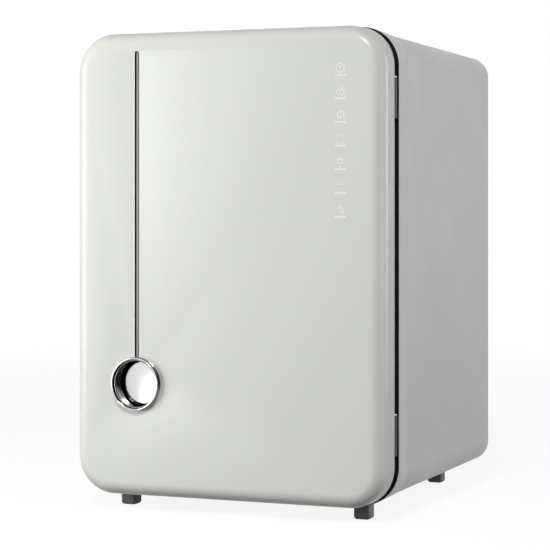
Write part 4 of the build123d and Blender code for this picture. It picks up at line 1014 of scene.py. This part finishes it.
# what stays as the frame has it gets its finish here
nodeFinish = {
    "innerWhite": ["door_inner_panel", "upper_lamp_sockets", "rear_lamp_sockets", "door_switch_plunger"],
    "seamBlack": ["door_trim"],
    "board": ["touch_board", "control_board"],
    "hingeDark": [
        "lower_hinge_door_leaf", "upper_hinge_door_leaf", "lower_hinge_fixed_leaf", "upper_hinge_fixed_leaf",
        "frame_hinge_screws", "door_hinge_screws",
    ],
    "steel": [
        "lower_hinge_pin", "upper_hinge_pin", "strike_plates", "foot_screws", "rear_cover_screws",
        "board_standoffs", "door_switch_spring", "fan_shaft",
    ],
    "casingGrey": ["rear_cover"],
    "magnet": ["door_magnets"],
    "rubber": ["front_feet", "rear_feet"],
    "stainless": [
        "chamber_liner", "upper_left_rail", "upper_right_rail", "lower_left_rail", "lower_right_rail",
        "lower_basket", "drip_tray", "air_grille",
    ],
    "stainlessRod": ["upper_rack", "upper_lamp_guard", "rear_lamp_guard"],
    "mirror": ["upper_reflector", "rear_reflector"],
    "heater": ["air_heater"],
    "fan": ["fan_housing", "fan_motor", "fan_impeller"],
    "component": ["lamp_ballast"],
    "darkPlastic": ["liner_supports", "power_inlet", "door_switch_housing", "filter_cover"],
    "wire": ["supply_wires"],
}
for finishName, nodeNames in nodeFinish.items():
    for nodeName in nodeNames:
        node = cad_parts[nodeName]
        node.data.materials.clear()
        node.data.materials.append(finish[finishName])
print("carried nodes")

# camera at the photograph's place
cameraSetup = {
    "place": (0.9090, -2.0698, 0.3114),
    "turn": (90.0, 0.0, 24.2204),
    "lens": 138.56,
    "sensor": 36,
    "shiftY": -0.12938,
}
cameraData = bpy.data.cameras.new("camera")
cameraData.lens = cameraSetup["lens"]
cameraData.sensor_width = cameraSetup["sensor"]
cameraData.shift_y = cameraSetup["shiftY"]
camera = bpy.data.objects.new("camera", cameraData)
camera.location = cameraSetup["place"]
camera.rotation_euler = [radians(degrees) for degrees in cameraSetup["turn"]]
scene.collection.objects.link(camera)
scene.camera = camera

# floor and light
studio = {
    "world": 0.1,          # plain level of the white surroundings, as light
    "floorRadius": 2.6,
    "floorDrop": 0.0002,
    "fadeStart": 0.9,      # from here outwards the seen floor turns clear
    "floorTone": 0.15,     # as light finds it
    "floorRough": 0.9,
    "seenTone": 0.14,      # as the camera sees it: this much takes the shadow, the rest glows
    "seenGlow": 0.89,
    "aim": (0.0, 0.0, 0.25),
    "lamps": [
        # name, place, size, power
        ("nearLeft", (-0.95, -0.8, 0.3), 0.85, 11.3),
        ("front", (0.95, -2.3, 0.65), 0.9, 2.0),
        ("high", (0.6, -2.6, 2.55), 0.8, 63.0),
        ("right", (1.4, -0.25, 0.25), 0.8, 4.2),
        ("rightBack", (1.8, 1.4, 0.55), 1.4, 19.0),
    ],
}


def seenRays(tree):
    # 1 for what the camera, gloss and glass see, 0 for light that falls on surfaces
    path = tree.nodes.new("ShaderNodeLightPath")
    seen = path.outputs["Is Camera Ray"]
    for ray in ("Is Glossy Ray", "Is Transmission Ray"):
        seen = mathNode(tree, "MAXIMUM", seen, path.outputs[ray])
    return seen


def buildWorld():
    world = bpy.data.worlds.new("studio")
    world.use_nodes = True
    tree = world.node_tree
    background = tree.nodes["Background"]
    background.inputs["Color"].default_value = (1, 1, 1, 1)
    level = spanNode(tree, seenRays(tree), 0.0, 1.0, studio["world"], 1.0)
    tree.links.new(level.outputs["Result"], background.inputs["Strength"])
    scene.world = world


def mixShaders(tree, factor, first, second):
    mix = tree.nodes.new("ShaderNodeMixShader")
    for socket, source in zip(mix.inputs, (factor, first, second)):
        tree.links.new(source, socket)
    return mix.outputs[0]


def paleFloor():
    tone, seenTone = studio["floorTone"], studio["seenTone"]
    material = bpy.data.materials.new("paleFloor")
    material.use_nodes = True
    tree = material.node_tree
    shader = tree.nodes["Principled BSDF"]
    shader.inputs["Base Color"].default_value = (tone, tone, tone, 1)
    shader.inputs["Roughness"].default_value = studio["floorRough"]
    shader.inputs["Specular IOR Level"].default_value = 0.0
    shade = tree.nodes.new("ShaderNodeBsdfDiffuse")
    shade.inputs["Color"].default_value = (seenTone, seenTone, seenTone, 1)
    glow = tree.nodes.new("ShaderNodeEmission")
    glow.inputs["Strength"].default_value = studio["seenGlow"]
    seenFloor = tree.nodes.new("ShaderNodeAddShader")
    tree.links.new(shade.outputs[0], seenFloor.inputs[0])
    tree.links.new(glow.outputs[0], seenFloor.inputs[1])
    seen = seenRays(tree)
    whole = mixShaders(tree, seen, shader.outputs[0], seenFloor.outputs[0])
    place = tree.nodes.new("ShaderNodeTexCoord")
    length = tree.nodes.new("ShaderNodeVectorMath")
    length.operation = "LENGTH"
    tree.links.new(place.outputs["Object"], length.inputs[0])
    fade = spanNode(tree, length.outputs["Value"], studio["fadeStart"], studio["floorRadius"])
    fade.interpolation_type = "SMOOTHSTEP"
    seenFade = mathNode(tree, "MULTIPLY", fade.outputs["Result"], seen)    # light still finds a whole floor
    clear = tree.nodes.new("ShaderNodeBsdfTransparent")
    surface = mixShaders(tree, seenFade, whole, clear.outputs[0])
    tree.links.new(surface, tree.nodes["Material Output"].inputs["Surface"])
    return material


def buildFloor():
    bm = bmesh.new()
    bmesh.ops.create_circle(bm, cap_ends=True, radius=studio["floorRadius"], segments=96)
    mesh = bpy.data.meshes.new("floor")
    bm.to_mesh(mesh)
    bm.free()
    mesh.materials.append(paleFloor())
    floor = bpy.data.objects.new("floor", mesh)
    floor.location = (0, 0, -studio["floorDrop"])
    scene.collection.objects.link(floor)


def buildLights():
    for name, place, size, power in studio["lamps"]:
        data = bpy.data.lights.new(name, "AREA")
        data.shape = "DISK"
        data.size = size
        data.energy = power
        lamp = bpy.data.objects.new(name, data)
        lamp.location = place
        lamp.rotation_euler = (Vector(studio["aim"]) - Vector(place)).to_track_quat("-Z", "Y").to_euler()
        scene.collection.objects.link(lamp)


buildWorld()
buildFloor()
buildLights()
scene.view_settings.view_transform = "Standard"
print("studio")
